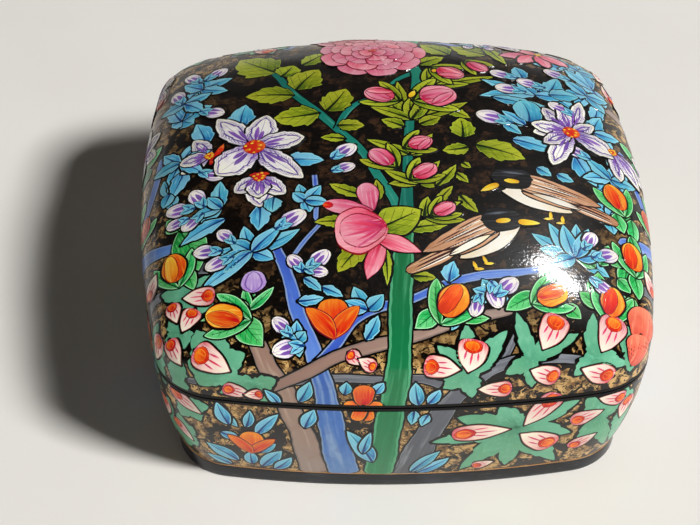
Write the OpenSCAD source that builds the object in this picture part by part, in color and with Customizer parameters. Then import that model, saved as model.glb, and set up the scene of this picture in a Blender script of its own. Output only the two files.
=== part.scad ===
// Small lidded box of moulded paper pulp with a pillow-shaped plan.
// Millimetres, +Z up. The origin is on the table, under the middle of the foot.

/* [Overall size] */
// Width across the widest level of the closed box
belly_w = 127; // [100:1:160]
// Depth across the widest level of the closed box
belly_d = 127; // [100:1:160]
// Height from the table to the top of the crown
total_h = 58.5; // [54:0.5:80]
// Height of the widest level above the table
belly_z = 39; // [37:0.5:44]

/* [Plan outline] */
// Radius of the plan's corners at the widest level
corner_r = 16; // [13:0.5:26]
// Radius of the plan's slightly bowed sides
side_r = 265; // [180:5:600]

/* [Profile] */
// Squareness of the crown's section, where 2 is an ellipse
crown_power = 2.5; // [2:0.1:3.2]
// How soon the plan turns round on the way up the crown
rounding_power = 5; // [2:0.5:8]
// Corner radius of the plan near the top of the crown, as a share of its half width
top_corner_share = 0.9; // [0.6:0.05:0.95]
// Side radius of the plan near the top of the crown, as a share of its half width
top_side_share = 1.1; // [1.05:0.05:1.5]
// How far the foot's sides stand in from the widest level
foot_inset = 6.9; // [3:0.1:9]
// Power of the curve of the wall below the widest level
wall_power = 2.1; // [1.6:0.1:3]

/* [Walls] */
// Thickness of the moulded pulp wall
wall_t = 3; // [2.4:0.1:4]
// Thickness of the pasted paper lining
lining_t = 0.5; // [0.3:0.1:0.8]
// Glue line between pieces that are pasted together
glue_gap = 0.15; // [0.1:0.05:0.25]

/* [Joint] */
// Height of the joint, where the closed lid's edge comes down
joint_z = 32.4; // [28:0.2:35]
// Gap between the closed lid's edge and the base's edge
joint_gap = 0.2; // [0.1:0.05:0.4]
// Height of each paper strip that binds a cut edge
edge_h = 0.6; // [0.4:0.1:1]
// How far the seat collar stands up above the joint
collar_rise = 5; // [3:0.5:6]
// How far the seat collar reaches down inside the base
collar_depth = 8; // [5:0.5:12]
// Thickness of the seat collar
collar_t = 1.6; // [1.2:0.1:2.4]
// Clearance between the seat collar and the inside of the lid
collar_clear = 0.4; // [0.3:0.05:0.6]

/* [Foot] */
// Height of the foot band
foot_h = 4; // [3:0.5:6]
// Thickness of the bottom board
board_t = 3; // [2:0.5:4]

/* [Hidden] */

// Points along each bowed side and each corner of the plan
side_steps = 10;
corner_steps = 6;
// Steps up the crown, up the lid's short wall and up the base's wall
crown_steps = 12;
lid_wall_steps = 3;
base_wall_steps = 6;

// Depth, inward from the outer surface, of each layer of the wall
lining_out = wall_t + glue_gap;
lining_in = lining_out + lining_t;
collar_glued = lining_in + glue_gap;
collar_free = lining_in + collar_clear;

// Heights of the pieces that meet at the joint
lid_bottom = joint_z + edge_h + glue_gap;
base_edge_top = joint_z - joint_gap;
base_edge_bottom = base_edge_top - edge_h;
base_top = base_edge_bottom - glue_gap;
collar_bottom = joint_z - collar_depth;
collar_top = joint_z + collar_rise;
base_bottom = foot_h + glue_gap;
lining_floor = board_t + glue_gap;

pulp_colour = [0.08, 0.05, 0.03];
lacquer_colour = [0.03, 0.03, 0.035];
collar_colour = [0.16, 0.11, 0.07];

function mix(from, to, share) = from + (to - from) * share;

// A quarter of the plan: one bowed side about the X axis, then one corner, as tangent arcs.
function quarter(half, corner, side) =
    let (side_centre = half - side,
         corner_centre = (side_centre
                          + sqrt(2 * pow(side - corner, 2) - pow(side_centre, 2))) / 2,
         turn = atan2(corner_centre, corner_centre - side_centre))
    [for (i = [0 : side_steps - 1])
         let (a = mix(-turn, turn, i / side_steps))
         [side_centre + side * cos(a), side * sin(a)],
     for (i = [0 : corner_steps - 1])
         let (a = mix(turn, 90 - turn, i / corner_steps))
         [corner_centre + corner * cos(a), corner_centre + corner * sin(a)]];

// The whole plan, anticlockwise, with its depth stretched or shrunk to half_d.
function plan(half_w, half_d, corner, side) =
    let (part = quarter(half_w, corner, side), stretch = half_d / half_w)
    [for (k = [0 : 3], p = part)
         [p[0] * cos(90 * k) - p[1] * sin(90 * k),
          (p[0] * sin(90 * k) + p[1] * cos(90 * k)) * stretch]];

function at_height(points, z) = [for (p = points) [p[0], p[1], z]];

// The plan of the wall at a height up to the widest level, inset from the outer surface.
function wall_plan(z, inset) =
    let (pulled_in = foot_inset * pow(max(belly_z - z, 0) / belly_z, wall_power),
         share = 1 - pulled_in / (belly_w / 2))
    plan(belly_w / 2 - pulled_in - inset, belly_d / 2 - pulled_in - inset,
         corner_r * share - inset, side_r * share - inset);

function wall_ring(z, inset) = at_height(wall_plan(z, inset), z);

// Rings of the wall from one height to another.
function wall_rings(z_from, z_to, inset, steps) =
    [for (i = [0 : steps]) wall_ring(mix(z_from, z_to, i / steps), inset)];

// A ring of the crown. The angle runs from 0 at the widest level to 90 at the top.
function crown_ring(angle, inset) =
    let (share = pow(cos(angle), 2 / crown_power),
         squareness = pow(share, rounding_power),
         half_w = belly_w / 2 - inset,
         half_d = belly_d / 2 - inset,
         corner_share = mix(top_corner_share, (corner_r - inset) / half_w, squareness),
         side_bend = mix(1 / top_side_share, half_w / (side_r - inset), squareness),
         rise = (total_h - inset - belly_z) * pow(sin(angle), 2 / crown_power))
    at_height(plan(half_w * share, half_d * share, half_w * share * corner_share,
                   half_w * share / side_bend), belly_z + rise);

function crown_rings(inset) =
    [for (i = [1 : crown_steps - 1]) crown_ring(90 * i / crown_steps, inset)];

function crown_top(inset) = [0, 0, total_h - inset];

function reversed(list) = [for (i = [len(list) - 1 : -1 : 0]) list[i]];

// The side faces between each ring and the next, from ring 0 to ring last.
function band_faces(n, last, count) =
    [for (j = [0 : last - 1], i = [0 : n - 1])
         let (a = j * n + i, b = j * n + (i + 1) % n,
              c = ((j + 1) % count) * n + (i + 1) % n, d = ((j + 1) % count) * n + i)
         each [[a, c, b], [a, d, c]]];

// A closed hoop: its rings go up the outside and down the inside, and the last joins the first.
module hoop(rings) {
    polyhedron(points = [for (ring = rings) each ring],
               faces = band_faces(len(rings[0]), len(rings), len(rings)));
}

// A closed bowl or dome: its rings run from an outer tip, over the rim, to an inner tip.
module bowl(outer_tip, rings, inner_tip) {
    n = len(rings[0]);
    count = len(rings);
    start = (count - 1) * n;
    polyhedron(points = concat([for (ring = rings) each ring], [outer_tip, inner_tip]),
               faces = concat(band_faces(n, count - 1, count),
                              [for (i = [0 : n - 1]) [count * n, i, (i + 1) % n]],
                              [for (i = [0 : n - 1])
                                   [count * n + 1, start + (i + 1) % n, start + i]]));
}

// The domed part of the lid between two depths under its outer surface.
module lid_layer(outer_inset, inner_inset) {
    bowl(crown_top(outer_inset),
         concat(reversed(crown_rings(outer_inset)),
                reversed(wall_rings(lid_bottom, belly_z, outer_inset, lid_wall_steps)),
                wall_rings(lid_bottom, belly_z, inner_inset, lid_wall_steps),
                crown_rings(inner_inset)),
         crown_top(inner_inset));
}

// A flat ring that covers the cut edge of the wall and its lining.
module edge_strip(z_from, z_to) {
    hoop([wall_ring(z_from, 0), wall_ring(z_to, 0),
          wall_ring(z_to, lining_in), wall_ring(z_from, lining_in)]);
}

// The lid

module lid_shell() {
    color(pulp_colour) lid_layer(0, wall_t);
}

module lid_lining() {
    color(lacquer_colour) lid_layer(lining_out, lining_in);
}

module lid_edge() {
    color(lacquer_colour) edge_strip(joint_z, joint_z + edge_h);
}

// The base

module base_shell() {
    color(pulp_colour)
        hoop(concat(wall_rings(base_bottom, base_top, 0, base_wall_steps),
                    reversed(wall_rings(base_bottom, base_top, wall_t, base_wall_steps))));
}

module base_lining() {
    floor_top = lining_floor + lining_t;
    color(lacquer_colour)
        bowl([0, 0, lining_floor],
             concat(wall_rings(lining_floor, base_top, lining_out, base_wall_steps),
                    reversed(wall_rings(floor_top, base_top, lining_in, base_wall_steps))),
             [0, 0, floor_top]);
}

module base_edge() {
    color(lacquer_colour) edge_strip(base_edge_bottom, base_edge_top);
}

module seat_collar() {
    color(collar_colour)
        hoop([wall_ring(collar_bottom, collar_glued),
              wall_ring((collar_bottom + base_edge_top) / 2, collar_glued),
              wall_ring(base_edge_top, collar_glued),
              wall_ring(base_edge_top, collar_free),
              at_height(wall_plan(joint_z, collar_free), collar_top),
              at_height(wall_plan(joint_z, collar_free + collar_t), collar_top),
              wall_ring(base_edge_top, collar_free + collar_t),
              wall_ring((collar_bottom + base_edge_top) / 2, collar_free + collar_t),
              wall_ring(collar_bottom, collar_free + collar_t)]);
}

// The foot

module foot_band() {
    color(lacquer_colour)
        linear_extrude(foot_h)
            difference() {
                polygon(wall_plan(foot_h, 0));
                polygon(wall_plan(foot_h, wall_t));
            }
}

module base_board() {
    color(collar_colour)
        linear_extrude(board_t)
            polygon(wall_plan(foot_h, lining_out));
}

lid_shell();
lid_lining();
lid_edge();
base_shell();
base_lining();
base_edge();
seat_collar();
foot_band();
base_board();
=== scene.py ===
import itertools
import math

import bmesh
import bpy
import numpy as np
from mathutils import Matrix, Vector


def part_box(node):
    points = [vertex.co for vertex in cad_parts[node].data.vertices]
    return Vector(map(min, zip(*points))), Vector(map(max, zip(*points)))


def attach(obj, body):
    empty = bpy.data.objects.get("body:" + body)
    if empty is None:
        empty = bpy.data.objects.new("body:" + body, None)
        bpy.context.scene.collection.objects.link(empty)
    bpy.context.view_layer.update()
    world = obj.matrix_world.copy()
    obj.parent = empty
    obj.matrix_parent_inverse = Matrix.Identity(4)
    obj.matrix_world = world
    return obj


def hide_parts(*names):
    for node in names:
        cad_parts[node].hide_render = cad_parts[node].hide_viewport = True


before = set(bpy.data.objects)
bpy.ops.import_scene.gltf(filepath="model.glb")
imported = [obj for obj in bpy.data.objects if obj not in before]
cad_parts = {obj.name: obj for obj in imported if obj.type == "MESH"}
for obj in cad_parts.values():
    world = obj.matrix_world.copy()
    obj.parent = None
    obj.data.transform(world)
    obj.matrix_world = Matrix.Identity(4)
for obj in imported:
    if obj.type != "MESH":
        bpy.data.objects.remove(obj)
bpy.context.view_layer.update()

MM = 0.001
rng = np.random.default_rng(7)     # for the small differences between like strokes


# Sizes in millimetres, taken from the frame

def span(node):
    """Lowest and highest level of a node."""
    low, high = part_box(node)
    return low.z / MM, high.z / MM


def half_width(node):
    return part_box(node)[1].x / MM


HALF = half_width("lid_shell")
HEIGHT = span("lid_shell")[1]
FOOT_TOP = span("foot_band")[1]
JOINT = span("lid_edge")[0]
LINING_T = 0.5
LINING_OUT = HALF - half_width("lid_lining")
LINING_IN = LINING_OUT + LINING_T

# The outer form, with the same powers, radii and shares as the construction
BELLY = 39.0           # height of the widest level
CORNER = 16.0          # radius of the plan's corners
SIDE = 265.0           # radius of the plan's bowed sides
INSET = 6.9            # how far the foot stands in from the widest level
WALL_POWER = 2.1
CROWN_POWER = 2.5
ROUNDING = 5.0
TOP_CORNER = 0.9
TOP_SIDE = 1.1
WALL = 3.0
COLLAR_T = 1.6
COLLAR_CLEAR = 0.4     # between the collar and the inside of the lid
GLUE = 0.15            # between pieces that are pasted together


def level_plan(z, inset=0.0):
    """Half width, corner radius and side radius of the plan at heights z, under an inset."""
    low = INSET * (np.clip(BELLY - z, 0, None) / BELLY) ** WALL_POWER
    lower = 1 - low / HALF
    full = HALF - inset
    up = np.clip((z - BELLY) / (HEIGHT - inset - BELLY), 0, 1)
    share = np.maximum(1 - up ** CROWN_POWER, 1e-9) ** (1 / CROWN_POWER)
    square = share ** ROUNDING
    corner_share = TOP_CORNER + ((CORNER - inset) / full - TOP_CORNER) * square
    side_bend = 1 / TOP_SIDE + (full / (SIDE - inset) - 1 / TOP_SIDE) * square
    wall = z < BELLY
    half = np.where(wall, HALF * lower - inset, full * share)
    corner = np.where(wall, CORNER * lower - inset, half * corner_share)
    side = np.where(wall, SIDE * lower - inset, half / side_bend)
    return half, corner, side


def plan_distance(x, y, half, corner, side):
    """How far points lie outside a plan of four bowed sides and four round corners."""
    x, y = np.abs(x), np.abs(y)
    x, y = np.maximum(x, y), np.minimum(x, y)
    reach = half - side
    centre = (reach + np.sqrt(2 * (side - corner) ** 2 - reach ** 2)) / 2
    on_side = np.hypot(x - reach, y) - side
    on_corner = np.hypot(x - centre, y - centre) - corner
    return np.where(y * (centre - reach) > (x - reach) * centre, on_corner, on_side)


def outside(p):
    return plan_distance(p[:, 0], p[:, 1], *level_plan(p[:, 2]))


# Points are slid onto the outer surface along lines that leave a flat slab inside the box
CORE = 45.0
CORE_TOP = 36.0
FARTHEST = 60.0
HALVINGS = 30          # of the stretch in which a line meets the surface
SLOPE_STEP = 0.01      # between the places whose difference gives a normal


def project(q):
    core = np.clip(q, (-CORE, -CORE, 0.0), (CORE, CORE, CORE_TOP))
    way = q - core
    way /= np.linalg.norm(way, axis=1, keepdims=True)
    near, far = np.zeros(len(q)), np.full(len(q), FARTHEST)
    for _ in range(HALVINGS):
        mid = (near + far) / 2
        p = core + way * mid[:, None]
        out = (p[:, 2] > HEIGHT) | (outside(p) > 0)
        far = np.where(out, mid, far)
        near = np.where(out, near, mid)
    return core + way * near[:, None]


def normals(p):
    """Outward normals of the outer surface at points on it."""
    x, y, z = np.eye(3) * SLOPE_STEP
    slope = np.stack([outside(p + x) - outside(p - x), outside(p + y) - outside(p - y),
                      2 * (outside(p) - outside(p - z))], 1)
    return slope / np.linalg.norm(slope, axis=1, keepdims=True)


# The chart of a side: x runs across it, h runs up the wall from the joint and over the crown

WALL_STEPS = 60
CROWN_ANGLES = 200


def middle_section():
    """Length along the middle of the front, from the joint up, with its y and z."""
    z = np.linspace(FOOT_TOP, BELLY, WALL_STEPS)
    angle = np.linspace(0, math.pi / 2, CROWN_ANGLES)[1:]
    y = np.concatenate([HALF - INSET * ((BELLY - z) / BELLY) ** WALL_POWER,
                        HALF * np.cos(angle) ** (2 / CROWN_POWER)])
    up = np.concatenate([z, BELLY + (HEIGHT - BELLY) * np.sin(angle) ** (2 / CROWN_POWER)])
    y, up = np.concatenate([-y, y[-2::-1]]), np.concatenate([up, up[-2::-1]])
    h = np.concatenate([[0], np.cumsum(np.hypot(np.diff(y), np.diff(up)))])
    return h - np.interp(JOINT, z, h[:WALL_STEPS]), y, up


SECTION = middle_section()
QUARTERS = [(1, 0), (0, 1), (-1, 0), (0, -1)]     # cosine and sine of the turn to each side


def spot(x, h, side=0):
    """Points of the surface at chart places. Sides 0, 1, 2, 3 are front, right, back, left."""
    x, h = np.atleast_1d(np.array(x, float)), np.atleast_1d(np.array(h, float))
    q = np.column_stack([x, np.interp(h, SECTION[0], SECTION[1]),
                         np.interp(h, SECTION[0], SECTION[2])])
    p = project(q)
    c, s = QUARTERS[side]
    return np.column_stack([p[:, 0] * c - p[:, 1] * s, p[:, 0] * s + p[:, 1] * c, p[:, 2]])


class Place:
    """A flat millimetre grid that touches the surface. Its first axis is turned from +x to +h."""

    def __init__(self, origin, across, up, turn=0.0):
        c, s = math.cos(math.radians(turn)), math.sin(math.radians(turn))
        self.origin = origin
        self.across = across * c + up * s
        self.up = up * c - across * s

    def moved(self, a, b, turn=0.0):
        return Place(self.origin + self.across * a + self.up * b, self.across, self.up, turn)

    def solid(self, a, b):
        return self.origin + a[..., None] * self.across + b[..., None] * self.up


NEARBY = 0.5     # to the higher point that gives a place its upward way


def place_at(x, h, turn=0.0, side=0):
    """The place that touches the surface at a chart place."""
    p, higher = spot([x, x], [h, h + NEARBY], side)
    n = normals(p[None])[0]
    up = higher - p
    up -= n * (up @ n)
    up /= np.linalg.norm(up)
    return Place(p, np.cross(up, n), up, turn)


def facing(x0, h0, x1, h1, side=0):
    """A place half way between two chart places, turned to the second, and their distance."""
    place = place_at((x0 + x1) / 2, (h0 + h1) / 2, 0, side)
    start, end = spot([x0, x1], [h0, h1], side)
    way = end - start
    turn = math.degrees(math.atan2(way @ place.up, way @ place.across))
    return place.moved(0, 0, turn), float(np.linalg.norm(way))


# Strokes: each is a strip of paint with its own length, width and layer, kept by its colour

LAYER = 0.022     # from one layer of paint to the next
CELL = 0.7        # the grid in which strokes that cover each other are found
SUNK = 0.03       # how far the rim of a stroke goes under the ground
FLARE = 0.05      # how far the rim slopes out on its way down
ALONG = 0.65      # longest step of a stroke's mesh lengthwise
ACROSS = 1.7      # step of its mesh from side to side, for two columns
THINNEST = 0.03   # half width of a stroke at its tips
strips = []

# Powers that shape the width at the base and at the tip
LEAF = (0.75, 1.0)
LANCE = (0.8, 0.75)
PETAL = (0.85, 0.45)
BROAD = (0.55, 0.36)
ROUND = (0.5, 0.5)
DROP = (0.9, 0.38)


def swelling(u, shape):
    """Half width along a stroke, 1 at its widest."""
    a, b = shape
    peak = a / (a + b)
    u = np.clip(u, 0, 1)
    return (u / peak) ** a * ((1 - u) / (1 - peak)) ** b


def keep_strip(kind, grid, s, width, v, order, mate, seed, under=False):
    """Adds a strip: grid holds its points, s the length and v the place across, -1 to 1.
    Strips are laid in their order, mates of one order in one layer. Under marks an outline."""
    def beyond(edge, inner):
        way = edge - inner
        return edge + way / np.linalg.norm(way, axis=-1, keepdims=True) * FLARE

    grid = np.concatenate([beyond(grid[:1], grid[1:2]), grid,
                           beyond(grid[-1:], grid[-2:-1])], 0)
    grid = np.concatenate([beyond(grid[:, :1], grid[:, 1:2]), grid,
                           beyond(grid[:, -1:], grid[:, -2:-1])], 1)
    s, width, v = (np.pad(a, 1, mode="edge") for a in (s, width, v))
    m, n = len(s), len(v)
    inner = np.zeros((m, n), bool)
    inner[1:-1, 1:-1] = True
    long = max(s[-1] - s[0], 1e-6)
    flat = np.broadcast_arrays(((s - s[0]) / long)[:, None], (v[None, :] + 1) / 2,
                               s[:, None], v[None, :] * width[:, None],
                               (1 - np.abs(v[None, :])) * width[:, None])
    i, j = np.meshgrid(np.arange(m - 1), np.arange(n - 1), indexing="ij")
    first = (i * n + j).ravel()
    faces = np.stack([first, first + n, first + n + 1, first + 1], 1)
    strips.append(dict(kind=kind, points=grid.reshape(-1, 3), inner=inner, order=order,
                       mate=mate, under=under, seed=seed, faces=faces,
                       data=np.stack([a.ravel() for a in flat], 1)))


def stroke(kind, place, start, angle, length, width, shape=LEAF, bend=0.0, *, level,
           halo=0.55, teeth=0, bite=0.22, under="halo", mate=None):
    """One brush stroke from a start in mm, at an angle in degrees, that bends by some degrees.
    Halo is the width of its outline, teeth cuts its edge by a share bite. Without a kind only
    the outline is laid."""
    seed = float(rng.random())
    mate = len(strips) if mate is None else mate
    rows = int(np.clip(length / ALONG, 6, 44)) + 4 * teeth
    columns = 2 * int(np.clip(width / ACROSS + 0.6, 1, 6))
    u = (1 - np.cos(np.linspace(0, math.pi, rows + 1))) / 2
    widths = width / 2 * swelling(u, shape) * (1 + 0.05 * np.sin(9 * u + 20 * seed))
    if teeth:
        widths = widths * (1 - bite * ((-u * teeth - seed) % 1.0))
    widths = np.maximum(widths, THINNEST)

    def lay(kind_, s, w, v, under_=False):
        heading = np.radians(angle + bend * (np.clip(s / length, 0, 1) - 0.5))
        step = np.diff(s, prepend=s[0])
        a, b = np.cumsum(step * np.cos(heading)), np.cumsum(step * np.sin(heading))
        a, b = a - np.interp(0, s, a) + start[0], b - np.interp(0, s, b) + start[1]
        shift = v[None, :] * w[:, None]
        grid = place.solid(a[:, None] - np.sin(heading)[:, None] * shift,
                           b[:, None] + np.cos(heading)[:, None] * shift)
        keep_strip(kind_, grid, s, w, v, level, mate, seed, under_)

    if halo:
        r = halo * (0.8 + 0.4 * seed)
        s = length / 2 + np.sin(np.linspace(-1.571, 1.571, rows + 3)) * (length / 2 + r)
        over = np.clip(np.maximum(-s, s - length), 0, r)
        w = np.interp(s, u * length, widths) + np.sqrt(np.maximum(r * r - over ** 2, THINNEST ** 2))
        if under == "halo" and (kind is None or kind.startswith("leaf")):
            under = "leaf_halo"
        lay(under, s, w, np.linspace(-1, 1, columns + 1), True)
    if kind:
        lay(kind, u * length, widths, np.linspace(-1, 1, columns + 1))


def smooth_through(along, values, t):
    """A cubic curve through values, read at t."""
    slope = np.gradient(values, along, axis=0)
    i = np.clip(np.searchsorted(along, t, side="right") - 1, 0, len(along) - 2)
    step = (along[i + 1] - along[i])[:, None]
    f = (t - along[i])[:, None] / step
    return ((1 + 2 * f) * (1 - f) ** 2 * values[i] + f * (1 - f) ** 2 * step * slope[i]
            + f * f * (3 - 2 * f) * values[i + 1] + f * f * (f - 1) * step * slope[i + 1])


STEM_OUTLINE = 0.45
STEM_STEP = 0.9        # of a stem's mesh, lengthwise and from side to side
THINNEST_STEM = 0.12   # half width


def branch(kind, points, level, side=0):
    """A stem through chart places (x, h, width), a little uneven."""
    rows = np.array(points, float)
    given = spot(rows[:, 0], rows[:, 1], side)
    along = np.concatenate([[0], np.cumsum(np.linalg.norm(np.diff(given, axis=0), axis=1))])
    t = np.linspace(0, along[-1], max(int(along[-1] / STEM_STEP), 3) + 1)
    line = project(smooth_through(along, given, t))
    seed = float(rng.random())
    mate = len(strips)
    width = smooth_through(along, rows[:, 2:3], t)[:, 0] / 2
    width *= 1 + 0.05 * np.sin(t * 0.45 + 20 * seed) + 0.02 * np.sin(t * 1.7 + 9 * seed)
    width *= np.sqrt(np.clip((along[-1] - t + 0.02) / min(0.6 * rows[-1, 2], 1.5), 0, 1))
    width = np.maximum(width, THINNEST_STEM)
    beside = np.cross(normals(line), np.gradient(line, axis=0))
    beside /= np.linalg.norm(beside, axis=1, keepdims=True)

    def lay(kind_, w, under):
        v = np.linspace(-1, 1, 2 * int(np.clip(w.max() / STEM_STEP + 0.5, 1, 5)) + 1)
        grid = line[:, None] + beside[:, None] * (w[:, None] * v[None, :])[..., None]
        keep_strip(kind_, grid, t, w, v, level, mate, seed, under)

    lay("leaf_halo", width + STEM_OUTLINE, True)
    lay(kind, width, False)


# Motifs. Angles are in degrees from +x towards +h, lengths in mm

BRANCHES, LEAVES, FLOWERS = 1, 9, 13      # the layers that they start on


def leaf(kind, x0, h0, x1, h1, width, side=0, level=LEAVES, bend=12, **more):
    """A leaf from its base to its tip, both at chart places."""
    place, length = facing(x0, h0, x1, h1, side)
    stroke(kind, place, (-length / 2, 0), 0, length, width, level=level, bend=bend, **more)


def leaves(kind, rows, **more):
    """Leaves from rows of base, tip and width, bent to either side in turn."""
    for i, (x0, h0, x1, h1, width) in enumerate(rows):
        leaf(kind, x0, h0, x1, h1, width, bend=14 if i % 2 else -14, level=LEAVES + i % 3,
             **more)


def fan(kind, x, h, tips, width, side=0, **more):
    """Leaves that spread from one place to their tips."""
    mate = len(strips)
    for i, (x1, h1) in enumerate(tips):
        leaf(kind, x, h, x1, h1, width, side, LEAVES + i % 3, 12 if i % 2 else -12, mate=mate,
             **more)


def violet_bud(x, h, size, angle, side=0):
    """A white and violet bud of two folded petals, held by two small leaves."""
    place = place_at(x, h, angle, side)
    level = FLOWERS + 2
    stroke("bud_white", place, (-size / 2, 0), 0, size, size * 0.7, ROUND, level=level)
    stroke("bud_white", place, (-size * 0.48, -size * 0.09), 7, size * 0.93, size * 0.4, ROUND,
           level=level + 1, halo=0.14, under="violet")
    mate = len(strips)
    for b, turn, width in ((0.15, 2, 0.15), (-0.12, 9, 0.19)):
        stroke("violet", place, (-size * 0.4, size * b), turn, size * 0.62, size * width, LANCE,
               level=level + 1.5, halo=0, mate=mate)
    for way in (-1, 1):
        stroke("leaf_blue", place, (-size * 0.78, -way * size * 0.05), way * 24, size * 0.66,
               size * 0.34, LEAF, level=level + 2, halo=0.16, mate=mate)


def rosebud(x, h, size, angle, side=0, opened=0.0, calyx="leaf_olive", petal="petal_pink",
            fold=None):
    """A rosebud with one petal folded over the other, and long sepals."""
    place = place_at(x, h, angle, side)
    level = FLOWERS + 2
    fold = fold or petal
    mate = len(strips)
    for way in (-1, 1):
        stroke(calyx, place, (-size * 0.75, 0), way * (30 + 8 * opened), size * 1.3,
               size * 0.38, LANCE, bend=-way * 25, level=level - 3, halo=0.4, mate=mate)
    stroke(petal, place, (-size / 2, 0), 0, size, size * (0.72 + 0.25 * opened), ROUND,
           level=level)
    stroke(fold, place, (-size * 0.46, size * 0.12), -5, size * 0.92, size * 0.42, ROUND,
           level=level + 1, halo=0.18, under="line_red")
    if opened:
        stroke(petal, place, (-size * 0.3, -size * 0.32), 24, size * 0.8, size * 0.26,
               ROUND, level=level + 2, halo=0.22, under="line_red")


def tulip(x, h, width, length, angle=90, side=0):
    """An orange flower with a round middle and two pointed petals that turn out."""
    place = place_at(x, h, angle, side)
    level = FLOWERS + 2
    stroke("petal_orange", place, (length * 0.1, 0), 0, length * 0.9, width * 0.56, (0.6, 0.42),
           level=level)
    for way in (-1, 1):
        stroke("petal_orange", place, (0, -way * width * 0.02), way * 38, length * 0.98,
               width * 0.3, (0.7, 0.75), bend=way * 22, level=level + 1 + 0.5 * way, halo=0.3,
               under="line_red")


STAMENS = 7


def open_flower(x, h, petals, disc, side=0, level=FLOWERS, petal="petal_white"):
    """Petals (angle, length, width) round a red disc with golden stamens."""
    place = place_at(x, h, 0, side)
    top = level + 1 + len(petals)
    mate = len(strips)
    for i, (angle, length, width) in enumerate(petals):
        stroke(petal, place, (0, 0), angle, length, width, (0.8, 0.76),
               bend=8 if i % 2 else -8, level=level + 1 + i, teeth=4, bite=0.13)
        for way in (-1, 1) if petal == "petal_white" else ():
            stroke("violet", place.moved(0, 0, angle), (length * 0.22, way * width * 0.05),
                   way * 6, length * (0.34 + 0.06 * way), width * 0.13, LANCE, level=top,
                   halo=0, mate=mate)
    stroke("ember", place, (-disc / 2, 0), 0, disc, disc * 0.92, ROUND, level=top + 1, halo=0.2,
           under="line_red")
    for i in range(STAMENS):
        a = math.radians(i * 51 + 11)
        reach = disc * (0.28 + 0.13 * (i % 2))
        stroke("gold", place, (reach * math.cos(a) - 0.35, reach * math.sin(a)), 0, 0.75, 0.6,
               ROUND, level=top + 2, halo=0, mate=mate)


def ring_petals(count, length, width, first):
    """Like petals all round, from a first angle."""
    return [(first + i * 360 / count, length, width) for i in range(count)]


def rose(x, h, radius, side=0):
    """A full rose: rings of cupped petals, smaller towards the heart. Each ring has a count,
    and its reach, width and start as shares of the radius."""
    place = place_at(x, h, 0, side)
    mate = len(strips)
    rings = [(9, 1.0, 0.62, 0.36), (8, 0.8, 0.55, 0.22), (6, 0.6, 0.52, 0.1), (5, 0.42, 0.4, 0.0),
             (3, 0.26, 0.3, 0.0)]
    for k, (count, reach, width, start) in enumerate(rings):
        for i in range(count):
            angle = i * 360 / count + k * 23
            a = math.radians(angle)
            r0 = radius * start
            stroke("petal_pink", place, (r0 * math.cos(a), r0 * math.sin(a)), angle,
                   radius * reach - r0, radius * width, BROAD,
                   level=FLOWERS + 1 + k * 3 + i % 3, halo=0.3,
                   under="halo" if k == 0 else "line_red", mate=mate)
    stroke("ember", place, (-radius * 0.07, 0), 20, radius * 0.15, radius * 0.1, ROUND,
           level=FLOWERS + 17, halo=0.25, under="line_red")


def sea_bud(x, h, length, width, angle, side=0):
    """A cream bud, narrow at its stalk and streaked in pink, whose wide end opens in an orange
    mouth with a red edge."""
    place = place_at(x, h, angle, side)
    level = FLOWERS + 1
    stroke("petal_cream", place, (-length / 2, 0), 0, length, width, DROP, level=level,
           halo=0.5)
    mate = len(strips)
    for way in (-1, 0, 1):
        stroke("deep_pink", place, (length * 0.14, way * width * 0.19), 180 - way * 6,
               length * (0.42 - 0.16 * abs(way)), width * 0.07, LANCE, level=level + 1, halo=0,
               mate=mate)
    stroke("petal_red", place, (length * 0.08, 0), 4, length * 0.38, width * 0.6,
           (0.55, 0.45), level=level + 2, halo=0.16, under="line_red")
    stroke("petal_orange", place, (length * 0.17, width * 0.03), 0, length * 0.25, width * 0.44,
           (0.55, 0.45), level=level + 3, halo=0)


def sea_leaves(x, h, tips, width, side=0):
    """Lobes of one flat leaf, from a hub to their tips, inside one outline."""
    place = place_at(x, h, 0, side)
    level = LEAVES - 1
    mate = len(strips)
    for kind, halo, order in ((None, 0.8, level), ("leaf_sea", 0, level + 0.5)):
        stroke(kind, place, (-width * 0.4, 0), 0, width * 0.8, width * 0.76, ROUND,
               level=order, halo=halo, mate=mate)
        for x1, h1 in tips:
            leaf(kind, x, h, x1, h1, width * 0.92, side, order, 0, shape=(0.5, 0.85), halo=halo,
                 teeth=3, bite=0.26, mate=mate)


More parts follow.
